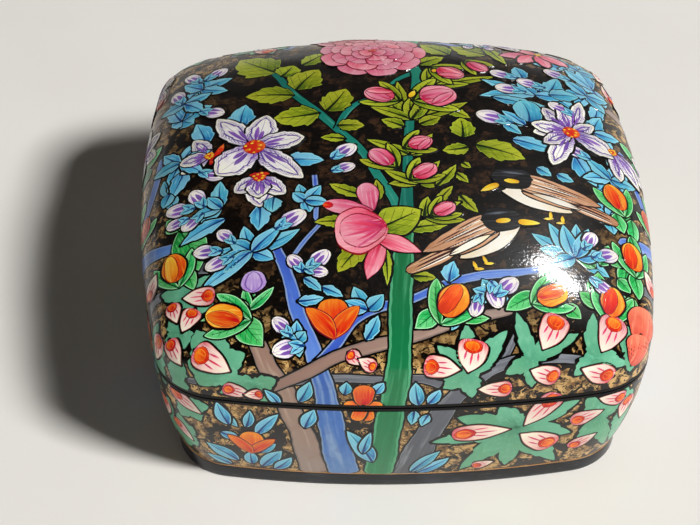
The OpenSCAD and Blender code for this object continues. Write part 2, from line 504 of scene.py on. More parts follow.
def bird(x, h, angle, flip, nod, beak):
    """A bulbul in profile. The angle runs from its tail to its dark head, which is bent down by
    nod, with the beak bent by beak. Flip is 1 with the belly on the right of that way, else -1."""
    place = place_at(x, h, angle)
    mate = len(strips)

    def part(kind, a, b, turn, length, width, shape, rise, halo=0.35, bend=0.0):
        stroke(kind, place, (a, flip * b), flip * turn, length, width, shape,
               bend=flip * bend, level=FLOWERS + 1 + rise, halo=halo, mate=mate)

    part("bird_tan", -12, -1.5, 176, 17, 3.6, (0.5, 0.35), 1, bend=-8)
    part("bird_white", -13, -2.4, 176, 14, 0.9, LANCE, 2, 0)
    part("bird_white", -16, -4.2, 4, 19.5, 5.6, (0.8, 0.7), 2, bend=16)
    part("bird_tan", -3, -2.6, 183, 12.5, 2.4, (0.4, 0.6), 3)
    part("bird_tan", 0, 0.9, 177, 22.5, 6.6, (0.4, 0.8), 4, bend=-6)
    part("bird_white", -5.5, -2.4, 179, 12, 1.8, LANCE, 5, 0.3)
    for k in range(7):
        part("line_dark", -3.5 - 2.6 * (k % 3), 3.4 - 0.85 * k, 182 - 1.2 * k, 8 + k % 2 * 4,
             0.36, LANCE, 6, 0)
    for k in range(4):
        part("bird_white", -2 - 2.2 * (k % 2), 2.6 - 1.3 * k, 180 - 1.4 * k, 9 + k % 2 * 3, 0.34,
             LANCE, 6, 0)
    for k in range(3):
        part("line_dark", -13 - k, -0.6 - 0.8 * k, 176, 12, 0.34, LANCE, 6, 0)
    part("bird_black", 1.0, -1.6, -beak, 4.6, 2.0, LANCE, 7)
    part("bird_black", -4.2, 2.5, -nod, 10, 7.4, (0.42, 0.5), 8)
    part("bird_grey", -2.4, 3.6, 4 - nod, 6.2, 0.7, LANCE, 9, 0)
    part("gold", 3.1, -2.5, -beak, 5.4, 1.9, (0.4, 0.8), 9, 0.3)
    part("gold", -1.6, 0.3, -nod * 0.8, 3.8, 1.6, ROUND, 9, 0.2)
    for k in (0, 1):
        part("gold", -14 + 3 * k, -6.6, -105, 2.6, 0.9, LANCE, 2, 0.25)
        part("gold", -15.2 + 3 * k, -8.6, -28, 2.4, 0.8, LANCE, 2, 0.25)


# The front and the crown

def front_stems():
    """Trunks and boughs from the foot, and the stems of the crown."""
    for kind, level, rows in (
            ("bark_teal", 5, [(-33.5, 121, 0.8), (-30.3, 117, 1.6), (-24.8, 104.2, 2),
                              (-18.6, 94.7, 2.2), (-14.5, 88, 2.2), (-8.5, 78.5, 2.2),
                              (-5, 69, 2.2), (-1.5, 60, 2.4), (0.3, 52, 2.2)]),
            ("bark_teal", 5, [(-14.4, 87.5, 1.4), (-11.8, 94.2, 1.6), (-7.9, 98.9, 1.3),
                              (-3, 100.5, 0.8)]),
            ("bark_teal", 5, [(7.7, 113.3, 1.8), (3, 110, 1.4), (0, 106.6, 0.8)]),
            ("bark_teal", 6, [(0.8, 51, 4), (1.3, 58, 3.2), (2.2, 68, 2.6), (3.2, 82, 2.2),
                              (4.8, 95, 2.2), (6.6, 106, 2.4), (7.2, 113, 2.6), (5.5, 120, 2.6)]),
            ("bark_green", 7, [(0.8, 55.5, 4), (0.2, 48, 4.4), (-0.5, 40, 5), (-1.5, 30, 5.4),
                               (-2, 20, 5.2), (-2.7, 10, 5.8), (-3.8, 0, 6.2), (-5, -15, 6.6),
                               (-6, -29, 7.4)]),
            ("bark_blue", 3, [(-31.5, 50, 2), (-27.5, 36.5, 3), (-25.5, 26, 3.4),
                              (-22.5, 17.5, 3.6), (-21.5, 12.5, 4)]),
            ("bark_blue", 3, [(-21.5, 13, 4), (-20, 8, 4.6), (-18.8, 0, 5.6), (-16.5, -15, 6.8),
                              (-14, -29, 8)]),
            ("bark_blue", 4, [(-21.5, 13, 2.6), (-17, 18, 2.4), (-12.5, 24, 2.4), (-7, 27, 2.4),
                              (-0.5, 28.5, 2.2), (5, 31, 2.2), (11, 34, 2.4), (17.5, 36, 2.4),
                              (26, 37.5, 2.2), (36, 40, 1.6)]),
            ("bark_tan", 1, [(-37, 22, 3), (-35, 18, 4), (-32.5, 11.5, 4.2), (-29, 6, 4.6),
                             (-27.5, -2, 5.2), (-24.5, -11, 5.8), (-23, -20, 6.2),
                             (-21, -29, 7)]),
            ("bark_tan", 5, [(-32, 6, 3), (-24, 11, 2.8), (-17, 15, 2.8), (-8.5, 17.5, 3),
                             (0, 19.5, 3), (9, 22.5, 3), (18.5, 25, 2.6), (25, 26.5, 2)]),
            ("bark_grey", 2, [(-32, 7, 2.2), (-20, 9.5, 1.9), (-5, 9.2, 2)]),
            ("bark_grey", 2, [(-60, 4, 1.4), (-47.5, 6, 1.8), (-40, 6, 1.8)]),
            ("bark_grey", 2, [(-62, 40, 2), (-52, 44, 3.2), (-43, 42, 2.6)]),
            ("bark_grey", 3, [(1, -29, 8), (5, -11, 6.4), (9.5, 0.5, 5), (13.5, 6.5, 4),
                              (19.5, 11.5, 3), (27, 13.5, 2.6), (35, 13.5, 2.2),
                              (42, 12.5, 1.6)]),
            ("bark_grey", 2, [(21.5, 13, 1.8), (24, 17.5, 1.4), (25.8, 22, 0.8)]),
            ("bark_grey", 2, [(-1, 9.6, 1.8), (4, 9.2, 2.2), (9.5, 6.5, 2.6)]),
            ("bark_blue", 1, [(-20.5, 70, 1.2), (-20.3, 62, 1.3), (-20.7, 54, 1)]),
            ("bark_blue", 1, [(-19.5, 53, 1), (-24, 47, 1.1), (-26.5, 43, 1)])):
        branch(kind, rows, level)


def front_olive():
    """Olive leaves and rosebuds of the crown."""
    leaves("leaf_olive", [
        (-29, 115.8, -38.3, 127.5, 13), (-27.4, 113.7, -24.4, 119, 8),
        (-24, 106, -17.9, 115.5, 10), (-24.8, 103.4, -37, 105.3, 8.5),
        (-18.6, 94.7, -30.3, 93.5, 9.5), (-16.6, 95.5, -11.3, 105, 9), (-14, 89, -7.4, 88.7, 5.4),
        (-12.5, 83.5, -18.5, 84.5, 3.4), (20, 81, 32, 76.5, 8.5), (17, 84, 17, 92, 7),
        (18, 80, 11.5, 78.5, 5), (9, 65, 14.5, 73, 3.2), (14, 70, 17, 66.5, 2.6),
        (16, 74, 18, 72, 2.4), (8.5, 58, 13, 65, 3), (14.5, 62, 18.5, 56, 3.4),
        (1, 50, 11, 51.5, 4.6), (-13, 53, -21, 53.5, 4), (-9, 62, -17, 66.5, 4),
        (-9, 46, -16, 37.5, 6.5), (-5, 45, -4.5, 33, 2.6), (-5.5, 60, -5.5, 67.5, 3),
        (1.5, 35.5, 7, 35, 3.4), (16.4, 124, 9.5, 131.5, 8), (26.7, 126, 17.5, 131.4, 9),
        (27, 134, 31.4, 120.2, 4), (8, 117, 15, 122, 5), (-22, 119, -16, 126, 6.4),
        (6.5, 89, 12, 92, 4.4), (2.4, 88, -3, 91, 4.4), (13, 96, 19.5, 92, 4)], teeth=4)
    for x, h, width, tips in (
            (4.6, 91, 3.6, [(-2.7, 101.5), (-5.4, 96.5), (10, 99), (19.4, 98.8), (4.8, 100.5),
                            (11.3, 107.5), (1.9, 108)]),
            (3, 77, 3.2, [(8.6, 79.5), (9.5, 85), (-2, 81), (-7, 83)]),
            (10, 106.5, 3, [(10, 115), (20.5, 107.5), (19.5, 117.5), (28, 112.5)]),
            (5, 66, 3, [(10.5, 74.5), (11, 66), (-3.5, 71), (-2.5, 66)]),
            (5.4, 54, 3, [(14.5, 59.5), (15.5, 53), (6.6, 61)])):
        fan("leaf_olive", x, h, tips, width)
    for x, h, size, angle, opened in ((-3, 102, 8, 150, 0.3), (12, 101.5, 9.5, 20, 1.0),
                                      (16, 112.8, 7.6, -28, 0.2), (23.5, 117, 6.4, -40, 0.0),
                                      (6.2, 81.5, 6.5, 28, 0.3), (-3.8, 76, 7.5, 130, 0.0),
                                      (6.6, 70.5, 7, 42, 0.0), (10.5, 56.8, 6, 38, 0.0)):
        rosebud(x, h, size, angle, opened=opened)
    leaf("gold", 4.6, 100.5, 6.2, 103.5, 1.6, level=FLOWERS)
    leaf("gold", 11.4, 113, 12.6, 114.6, 1.4, level=FLOWERS)


def front_flowers():
    """The large pink and white flowers."""
    rose(-3.5, 124.5, 14)
    open_flower(41, 132, [(204, 12, 4.8), (234, 10.5, 4.4), (150, 9, 4.6), (282, 9, 4.4),
                          (330, 9, 4.6)], 1.6, petal="petal_pink")

    mallow = place_at(-8.5, 50)
    leaf("leaf_olive", -5.6, 50.3, 4.6, 56.3, 9.5, level=FLOWERS, bend=0)
    for a, b, angle, length, width, shape, rise in (
            (1.2, 5.4, 94, 11, 5.2, PETAL, 1), (1.8, 6.4, 166, 12.2, 4.8, PETAL, 2),
            (3.2, -4.4, 250, 11.4, 4.6, LEAF, 1), (1.8, -2.2, 334, 12, 4.8, LEAF, 3),
            (4.9, 0.0, 180, 12.6, 14.4, BROAD, 4), (4.5, 0.7, 187, 11, 10.4, BROAD, 6)):
        stroke("petal_pink", mallow, (a, b), angle, length, width, shape,
               level=FLOWERS + rise, halo=0.28, under="halo" if rise < 4 else "line_red")
    stroke("petal_red", mallow, (-7.8, 8.6), 165, 2.6, 2.2, ROUND, level=FLOWERS + 4, halo=0)
    mate = len(strips)
    for i in range(9):
        stroke("deep_pink", mallow, (3.9 - 0.4 * (i % 2), 0.7), 151 + 9 * i, 5.4 + 2.2 * (i % 3),
               0.7, LANCE, bend=20 - 5 * i, level=FLOWERS + 7, halo=0, mate=mate)

    open_flower(-35, 82.5, [(123, 17, 7), (75, 13, 8.4), (10, 12.8, 7.6), (-49, 18, 7),
                            (-138, 12.8, 11)], 5.6)
    open_flower(-34, 71, [(-90, 10.6, 8), (-48, 9.4, 5.6), (-144, 7.6, 5.6), (-92, 7.4, 6)],
                3.4, level=FLOWERS - 5)
    open_flower(-46.4, 82, [(160, 7.4, 5), (118, 9, 5), (208, 8.6, 5), (182, 8, 5)], 2.6,
                level=FLOWERS - 5)
    leaf("ember", -46.2, 78.4, -42.4, 85.8, 2.4, level=FLOWERS - 0.5, teeth=3)
    leaf("ember", -36.4, 72, -31, 72, 2, level=FLOWERS - 0.5, teeth=3)
    open_flower(45, 89.6, [(124, 11.5, 5.4), (74, 16.5, 4.6), (96, 12.5, 4.4), (192, 10.5, 5),
                           (172, 10.5, 6), (40, 9, 4.4), (-25, 13.5, 7.6), (-114, 16, 6.2),
                           (-142, 10, 5)], 4.6)
    open_flower(60.8, 86, [(-30, 13, 5), (-85, 11, 4.4), (-52, 13, 5)], 2.6, level=FLOWERS + 4)


def front_blue():
    """Blue leaves with white and violet buds."""
    leaves("leaf_blue", [
        (-38.5, 92, -37, 101.5, 7.4), (-47.5, 87, -51, 97, 6.4), (-55, 79, -61.5, 70, 5.4),
        (-61, 88, -63, 80, 4), (-27.5, 76.5, -18, 75.5, 6), (-30.5, 63, -31, 58, 5),
        (-34, 61, -34.5, 52.5, 5.4), (-41.5, 58, -56, 53, 4.6), (-43.5, 62, -43.5, 71.5, 4.6),
        (-10, 19, -7, 25, 3.6), (10, 34, 11.5, 40, 4.4), (26, 102, 39.5, 100, 4.4),
        (29.5, 84, 40, 81, 5.6), (45, 80, 50.5, 70, 6.4), (53, 92, 59, 101, 5),
        (55, 98, 60, 108, 5), (34.5, 73.5, 38, 71, 3.6), (39.5, 72, 43.5, 70, 3.6),
        (56, 78, 58, 71, 4.6), (28, 91, 32, 86.5, 3.6), (-24, 36.5, -20, 32.5, 3),
        (-25.5, 30, -19.5, 30.5, 3.2), (-20, 33.5, -15, 30.5, 3)], teeth=3)
    for x, h, width, teeth, tips in (
            (-57.6, 101, 5.4, 3, [(-45.2, 104.3), (-51.1, 112.1), (-65, 110.8), (-52, 98),
                                  (-63, 100)]),
            (-49, 113.5, 4.8, 3, [(-39.8, 116.5), (-41, 109.9), (-57, 118.5), (-49, 119.5)]),
            (-36, 46, 4, 0, [(-38, 54.5), (-41.5, 50.5), (-29, 53), (-24.5, 51.5), (-31, 43),
                             (-43, 41), (-46, 47.5), (-45, 44), (-49, 37)]),
            (-23, 61, 3.4, 0, [(-24.5, 67), (-19, 66), (-17.5, 60), (-22, 57), (-26, 64)]),
            (-43, 62, 3.4, 0, [(-50, 64), (-52, 61), (-47, 66.5), (-49, 58.5)]),
            (-9.5, 26.5, 3.8, 0, [(-12.5, 33), (-5.5, 30.5), (-15, 29)]),
            (-26, 19, 3, 0, [(-26, 24.5), (-24, 21.5), (-29.5, 20), (-25.5, 15)]),
            (37.5, 105, 4.8, 3, [(24, 110.3), (22.8, 102.3), (33.5, 111), (40.5, 112), (29, 106),
                                 (45.5, 106)]),
            (40.8, 106, 6, 3, [(47.5, 101), (44.5, 116), (50, 108)])):
        fan("leaf_blue", x, h, tips, width, teeth=teeth)
    leaf("leaf_blue", 35.1, 113.4, 33.6, 119.3, 5, teeth=3)
    fan("leaf_blue", 59.7, 115, [(45, 131), (50, 114.8), (48, 123), (57, 107), (66, 108),
                                 (54, 126)], 5, teeth=3)
    leaf("leaf_blue", 48.4, 123.3, 38.5, 123.3, 4.4)
    fan("leaf_blue", 33.5, 90.5, [(30.5, 92.5), (28, 96)], 3)
    place = place_at(34, 96.5)
    stroke("leaf_blue", place, (0.5, -4.5), 96, 9.5, 7.4, ROUND, bend=40, level=LEAVES + 3)
    for x, h, width, tips in (
            (41, 44, 4, [(31, 50), (32.5, 45.5), (39, 54), (42.5, 55), (35.5, 54), (45.5, 54),
                         (50, 40), (49, 47), (35, 41)]),
            (20, 31, 3.2, [(14, 28), (18, 35), (25, 34), (24, 29), (15.5, 32)]),
            (54, 60, 4, [(50, 64), (57, 66), (60, 60), (55, 54.5), (49, 58)]),
            (62, 78, 4, [(58, 84), (66, 84), (66, 75), (57, 76)]),
            (-62, 72, 4, [(-66, 78), (-58, 76), (-66, 68), (-60, 66)])):
        fan("leaf_blue", x, h, tips, width)
    for x, h, size, angle in (
            (-53.6, 121, 5.8, 120), (-44, 121, 6, 40), (-60.4, 113, 6, 110),
            (-50.5, 67.5, 6, 115), (-58.5, 65, 6.4, 165), (-59.5, 60.5, 5, 185),
            (-53, 59, 5.4, 215), (-42.5, 52.5, 5, 130), (-48, 48.5, 5.8, 170),
            (-44.5, 44, 5.8, 200), (-26, 55.2, 7, 35), (-12.5, 79, 6.4, 40), (-12.8, 72.5, 5, 20),
            (-26, 41.5, 5, 120), (-20, 42, 6, 45), (-20.5, 38, 4.6, -15), (-29.7, 23.5, 5, 130),
            (-28.8, 17, 6, 190), (24.8, 93, 7.6, 160), (29.3, 113.8, 5.8, 162),
            (36.1, 110.7, 6, 165), (30.3, 106.6, 6.4, 172), (45.5, 50.5, 5.4, 60),
            (51, 46.5, 6, 20), (16, 27, 5, 250), (20.8, 30, 6, 280), (24, 33.5, 6, 40),
            (48, 36, 5.6, -40)):
        violet_bud(x, h, size, angle)
    for x0, h0, x1, h1 in ((-61, 112, -49, 113), (-62, 103, -52, 104), (58, 105, 57, 118)):
        branch("leaf_blue", [(x0, h0, 1.2), ((x0 + x1) / 2, (h0 + h1) / 2 + 1, 1),
                             (x1, h1, 0.8)], 6)
    leaves("leaf_blue", [
        (-44, -5, -40, -9.5, 2.6), (-38, -9.5, -37, -3, 2.6), (-35.5, -12, -30.5, -3.5, 3.4),
        (-44, -12.5, -39.5, -14.5, 3.2), (-42, -9, -45, -1, 3.4), (-39.5, -25, -48, -18, 4),
        (-34, -27, -29.5, -18.5, 4), (-31, -28, -27, -21.5, 3.2), (-36.5, -26, -37, -20, 3.4),
        (-41, -27.5, -48, -24, 2.8), (-34.5, -20, -31, -15.5, 2.8), (-25.5, 1.5, -23, 8.5, 3.4),
        (-24, -8, -22, -1, 3.6), (-15, 4.6, -14.5, 8.6, 3), (-8, 5, -6, 8.6, 3),
        (-7.6, -22, -14, -8.5, 4.6), (2.6, 1, 1.4, 8.5, 3.6), (4.8, 1.5, 7.4, 6, 3),
        (1.5, -1, 1.2, -6, 2.8), (5, -2.5, 3.4, -6.5, 2.6), (2, -27.5, 8.5, -17.5, 3.4),
        (3.5, -28, 11, -21, 3.4), (-10, -18, -8.5, -9, 2.6), (-30, 0, -33.5, 5, 2.4),
        (12, 24.5, 10, 21, 2)])


def front_bright():
    """Bright green plants with orange, lilac and yellow buds."""
    fan("leaf_green", -37, 29, [(-33, 33.5), (-31, 35), (-41, 33), (-44, 34.5), (-38, 36),
                                (-49, 27), (-36, 36)], 2.6)
    leaf("leaf_green", -39.5, 27, -34, 17.5, 6.5)
    place = place_at(-35.8, 37, 90)
    stroke("lilac", place, (-3, 0), 0, 6.2, 6, ROUND, level=FLOWERS + 2)
    for x, h, size, angle, petal, fold in (
            (-42.8, 27.5, 9, 165, "petal_amber", "petal_orange"),
            (-61, 46.5, 9, 100, "petal_orange", "petal_amber"),
            (10.8, 28.8, 9.6, 62, "petal_amber", "petal_red"),
            (34.5, 31.8, 8, 28, "petal_amber", "petal_orange"),
            (51, 32.5, 8.4, 80, "petal_amber", "petal_red"),
            (58, 68, 8.6, 110, "petal_amber", "petal_orange"),
            (64, 49, 8.6, 95, "petal_amber", "petal_red")):
        rosebud(x, h, size, angle, calyx="leaf_green", petal=petal, fold=fold)
    leaves("leaf_green", [(-57.5, 58, -50, 43.5, 9), (-58, 58, -64, 63, 5), (-56, 45, -52, 38, 4),
                          (8, 27, 6.5, 35, 4), (7, 26.5, 1.5, 21.5, 4.6), (11, 24.5, 19, 24, 3),
                          (33, 35, 35, 40, 4.4), (31, 31.5, 23, 26.5, 4.6), (37, 29, 41, 25, 4),
                          (45, 31, 47, 41, 6), (56, 36, 54, 27, 4.4), (57, 62, 60, 56, 4.4),
                          (61, 64, 63.5, 57, 4), (60, 45, 57, 38, 5), (46, 30, 41, 34, 4),
                          (58, 73, 62, 78, 3.6), (54, 40, 60, 37, 4), (56.5, 44, 50, 48, 4.4),
                          (46, 42, 41, 46, 4), (48, 43, 52, 50, 4), (63, 44, 66, 36, 4.4),
                          (50, 26, 45, 21, 3.6), (64, 56, 68, 48, 4), (62, 36, 58, 30, 4),
                          (66, 62, 66, 54, 4)])
    tulip(-17.5, 19.5, 13.5, 10.5)
    tulip(-36.7, -20.5, 10, 9.5)
    cross = place_at(-10.5, 0.8, 90)
    for angle, length, width in ((90, 4.6, 3.2), (-90, 4.6, 3.2), (0, 7, 5), (198, 5.4, 3.4),
                                 (162, 5.4, 3.4)):
        stroke("petal_orange", cross, (0, 0), angle, length, width, (0.55, 0.4),
               level=FLOWERS + 1)


def front_sea():
    """Sea-green plants whose cream buds open in red mouths, three of them round the corner on
    the left side."""
    for x, h, width, tips in (
            (-46, 11, 8.5, [(-51.5, 23.5), (-43.5, 22), (-54, 13), (-38, 16), (-39, 7),
                            (-50, 4.5)]),
            (-59, 24, 7, [(-62, 33), (-55, 31), (-64, 16), (-56, 17)]),
            (-36, 6, 6, [(-31, 9), (-42, 8.5), (-33, 0), (-44, 2.5)]),
            (-61, 5, 6, [(-57, 13), (-64, 12), (-56, -3)]),
            (14, 10.5, 6, [(13.5, 23), (21.5, 18.5), (6.5, 17.5), (8, 6.5), (15, 3), (4, 12),
                           (23, 21)]),
            (28.5, 13.5, 4.6, [(25.5, 26), (37, 22), (31, 17), (29, 5), (22.5, 10), (40, 20)]),
            (43, 13, 5, [(39, 8), (51, 24), (47, 5), (54, 10), (44, 27), (50, 14)]),
            (26.5, -9, 8, [(6.5, -13.5), (14, -27), (25, -26.5), (37.5, -27), (41, -1.5),
                           (12, -4), (22, -1), (40, -14), (19, -20), (31, -22)]),
            (46.5, -9, 5.4, [(39, -8), (50, -2), (49, -17), (42, -20), (56, -5), (53, -24),
                             (43, 0)]),
            (-55, -4, 6, [(-63, -1), (-47, -3), (-50, -9), (-60, -10)]),
            (-59, -17, 5.4, [(-63, -10), (-54, -13), (-53, -22), (-62, -25)]),
            (57, 16, 5.6, [(55, 24), (61, 10), (63, 22), (52, 18), (58, 5)]),
            (59, -10, 5.6, [(56, 0), (62, -3), (55, -16), (63, -16), (58, -24)])):
        sea_leaves(x, h, tips, width)
    for x, h in ((42, 25), (50, 5), (50, -15)):
        sea_leaves(x, h, [(x - 5, h + 9), (x + 5.5, h + 8), (x - 7, h - 2), (x - 4, h - 9),
                          (x + 6, h - 7), (x + 7, h + 1)], 6, 3)
        sea_bud(x + 0.5, h + 3, 8, 5.4, 80, 3)
    for x, h, length, width, angle in (
            (-46, 13.5, 10, 6.6, 150), (-62, 33, 6, 4, 100), (-54.5, 28, 6.4, 5, 60),
            (-61.5, 15.5, 7, 4.6, 120), (-40, 3.6, 7, 4.4, 165), (-36.2, 3, 4.4, 3.4, 10),
            (14.5, 14.8, 8, 7.4, 78), (7.6, 12.3, 8.6, 5.6, 172), (33.5, 20.5, 9.6, 7, 62),
            (48.6, 20, 10.5, 7, 62), (31.8, 9.2, 7.4, 5.6, -24), (44.6, 8, 9, 6, -26),
            (20.3, 5.4, 8, 5, -4), (32, -3.5, 13, 6.2, 55), (18, -10.2, 14, 6.2, 182),
            (32, -15.5, 11, 7.4, -38), (43.5, -8, 8.4, 5, 200), (43.5, -18.5, 8, 4.2, 215),
            (51, -3, 8, 4.6, -20), (19.5, -25, 5.4, 3.6, 200), (-56.5, -3.5, 10, 4.6, 150),
            (-61, -16.5, 8, 4, 130), (59.5, -9, 8, 5, 80)):
        sea_bud(x, h, length, width, angle)
    for x, h, angle in ((-12.5, 14.6, 140), (-9.8, 13.4, -30)):
        sea_bud(x, h, 4.6, 3.4, angle)
    leaf("petal_coral", 62, 14, 72, 34, 9, level=FLOWERS + 5, shape=BROAD)
    leaf("petal_coral", 57.6, 7.4, 66, 20, 8, level=FLOWERS + 6, shape=BROAD)


def front_birds():
    """Two birds that face each other."""
    bird(28, 67.5, 162, -1, 17, 50)
    bird(24, 53.5, 34, 1, 27, 33)


# The other three sides, in a layout of their own

def side_stems(side, f, top):
    """Trunks from the foot, and branches under the crown. f is 1, or -1 to mirror them."""
    for kind, level, rows in (
            ("bark_green", 7, [(6, -29, 7), (7, -12, 6), (5, 2, 5.4), (8, 15, 4.6), (6, 28, 4)]),
            ("bark_blue", 3, [(-20, -29, 7.4), (-22, -14, 6), (-19, 0, 5), (-23, 12, 4),
                              (-26, 24, 3)]),
            ("bark_blue", 4, [(-20, 3, 2.6), (-12, 11, 2.6), (-2, 16, 2.4), (10, 19, 2.4),
                              (22, 25, 2), (31, 27, 1.4)]),
            ("bark_tan", 1, [(31, -29, 7), (28, -14, 5.6), (30, 0, 4.6), (27, 12, 3.4),
                             (31, 24, 2.6)]),
            ("bark_tan", 5, [(28, 8, 2.8), (18, 12, 2.6), (6, 8, 2.4), (-8, 9, 2.2),
                             (-18, 14, 1.6)]),
            ("bark_grey", 2, [(-43, -29, 6), (-40, -14, 5), (-42, 2, 4), (-38, 12, 3),
                              (-40, 24, 2)]),
            ("bark_grey", 2, [(-41, 6, 2.4), (-34, 10, 2), (-27, 9, 1.6)]),
            ("bark_grey", 2, [(29, 3, 2.6), (38, 8, 2.2), (48, 9, 1.8), (57, 14, 1.2)])):
        branch(kind, [(f * x, h, w) for x, h, w in rows if h < top + 8], level, side)


def side_plants(side, f, top):
    """Leaves, buds and flowers of one side, under a level of its chart."""
    def p(x):
        return f * x + rng.uniform(-0.8, 0.8)

    def clear(rows, limit=top):
        """The rows below a limit that keep off the painting of the front and the crown, which
        runs round the corners."""
        return [row for row in rows if row[1] < limit and not (
            abs(row[0]) > 40 and row[1] > 14 if side == 2 else row[0] < -44)]

    def turn(angle):
        return angle if f > 0 else 180 - angle

    def lobes(x, h, reach, angles):
        return [(x + reach * r * math.cos(math.radians(turn(a))),
                 h + reach * r * math.sin(math.radians(a))) for a, r in angles]

    spread = [(75, 1.1), (30, 0.9), (-8, 1.1), (-55, 0.9), (-110, 1.0), (-160, 0.9), (160, 1.1),
              (118, 0.9)]
    for x, h, reach, angles, width in clear((
            (44, -14, 13, spread, 7), (-33, -16, 9, spread[:6], 6), (18, -15, 9, spread, 5.6),
            (-6, -16, 9, spread[2:], 5.6), (-54, 12, 9, spread, 6), (17, 3, 8, spread[:5], 5),
            (-32, 18, 8, spread, 5), (-8, 2, 7, spread[:6], 4.6), (56, -2, 8, spread[3:], 5),
            (-57, -12, 9, spread, 5.6))):
        sea_leaves(p(x), h, lobes(f * x, h, reach, angles), width, side)
    for x, h, length, width, angle in clear((
            (50, -13, 12, 6.4, -10), (41, -19, 11, 6, 230), (43, -8, 10, 6, 100),
            (-34, -19, 8, 5.4, 200), (-32, -11, 8, 5, 70), (19, -18, 9, 5.4, 250),
            (17, -9, 8, 5.2, 60), (-7, -19, 9, 5.6, 160), (-6, -10, 8, 5, 80),
            (40, 14, 8, 5.4, 200), (49, 14, 8, 5, -30), (-54, 6, 8, 5, 240), (17, 5, 8, 5.6, 80),
            (-32, 21, 8, 5.6, 60), (-34, 13, 7, 5, 220), (-8, 4, 7, 5, 120), (57, 1, 8, 5, 80),
            (-57, -9, 9, 5.4, 120), (-56, -19, 8, 5, 250), (57, -18, 8, 5, 100)), top + 3):
        sea_bud(p(x), h, length, width, turn(angle), side)
    for x, h, width, length in clear(((31, -22, 8, 7), (-48, -22, 8, 7), (-38, -3, 9, 8),
                                      (1, -25, 7, 6))):
        tulip(p(x), h, width, length, turn(90 + rng.uniform(-14, 14)), side)
        fan("leaf_blue", f * x, h - 1, lobes(f * x, h - 1, width * 0.9,
                                             [(10, 1), (48, 1.1), (172, 1), (135, 1.1),
                                              (-40, 0.8), (220, 0.8)]), 3.2, side)
    reach = 6
    for x, h in clear(((25, 18), (-14, -4), (36, -2), (-27, -25))):
        fan("leaf_blue", p(x), h, lobes(f * x, h, reach,
                                        [(95, 1), (50, 1.1), (8, 0.9), (-50, 0.8), (140, 1.1),
                                         (185, 0.9), (235, 0.8)]), 0.42 * reach, side,
            teeth=3)
        for angle in (70, 120):
            a = math.radians(angle)
            violet_bud(p(x) + reach * 1.15 * math.cos(a), h + reach * 1.15 * math.sin(a),
                       0.62 * reach, angle, side)
    for x, h, size, angle, petal in clear((
            (-12, 12, 7, 30, "petal_ember"), (23, -2, 7, 100, "petal_orange"),
            (48, 3, 7, 30, "petal_orange")), top + 2):
        rosebud(p(x), h, size, turn(angle), side, calyx="leaf_green", petal=petal)
    for x, h, x1, h1, width in clear(((10, 12, 15, 18, 3.6), (-8, 9, -3, 13, 3.4),
                                      (25, -8, 21, -1, 3), (-3, 20, 3, 25, 4))):
        leaf("leaf_green", f * x, h, f * x1, h1, width, side)


def back_flowers():
    """Large flowers on the shoulders that only show from the sides and behind."""
    open_flower(-30, 13, ring_petals(7, 12, 6, 15), 5.6, side=2)
    open_flower(34, 10, ring_petals(7, 11, 5.6, 40), 5, side=2)
    rose(8, 17, 11, side=2)
    for side, x, h in ((1, 8, 5), (1, 40, 4), (3, -18, 8), (3, -44, 7)):
        open_flower(x, h, ring_petals(7, 10.5, 5.6, 20 * side), 5, side=side)
    for side, x, h in ((1, -4, 24), (1, 14, 26), (1, 32, 25), (1, 46, 24), (3, -30, 24),
                       (3, -4, 24)):
        fan("leaf_blue", x, h, [(x - 7, h + 5), (x - 2, h + 8), (x + 6, h + 6), (x + 7, h - 3),
                                (x - 6, h - 5), (x + 1, h - 8)], 4.4, side, teeth=3)
        violet_bud(x + 8, h + 9, 6, 60, side)


def paint_all():
    """The painting of the front and the crown, then of the other sides up to their tops."""
    front_stems()
    front_olive()
    front_blue()
    front_sea()
    front_bright()
    front_flowers()
    front_birds()
    for side, f, top in ((1, 1, 17), (2, -1, 21), (3, -1, 17)):
        side_stems(side, f, top)
        side_plants(side, f, top)
    back_flowers()


# Materials

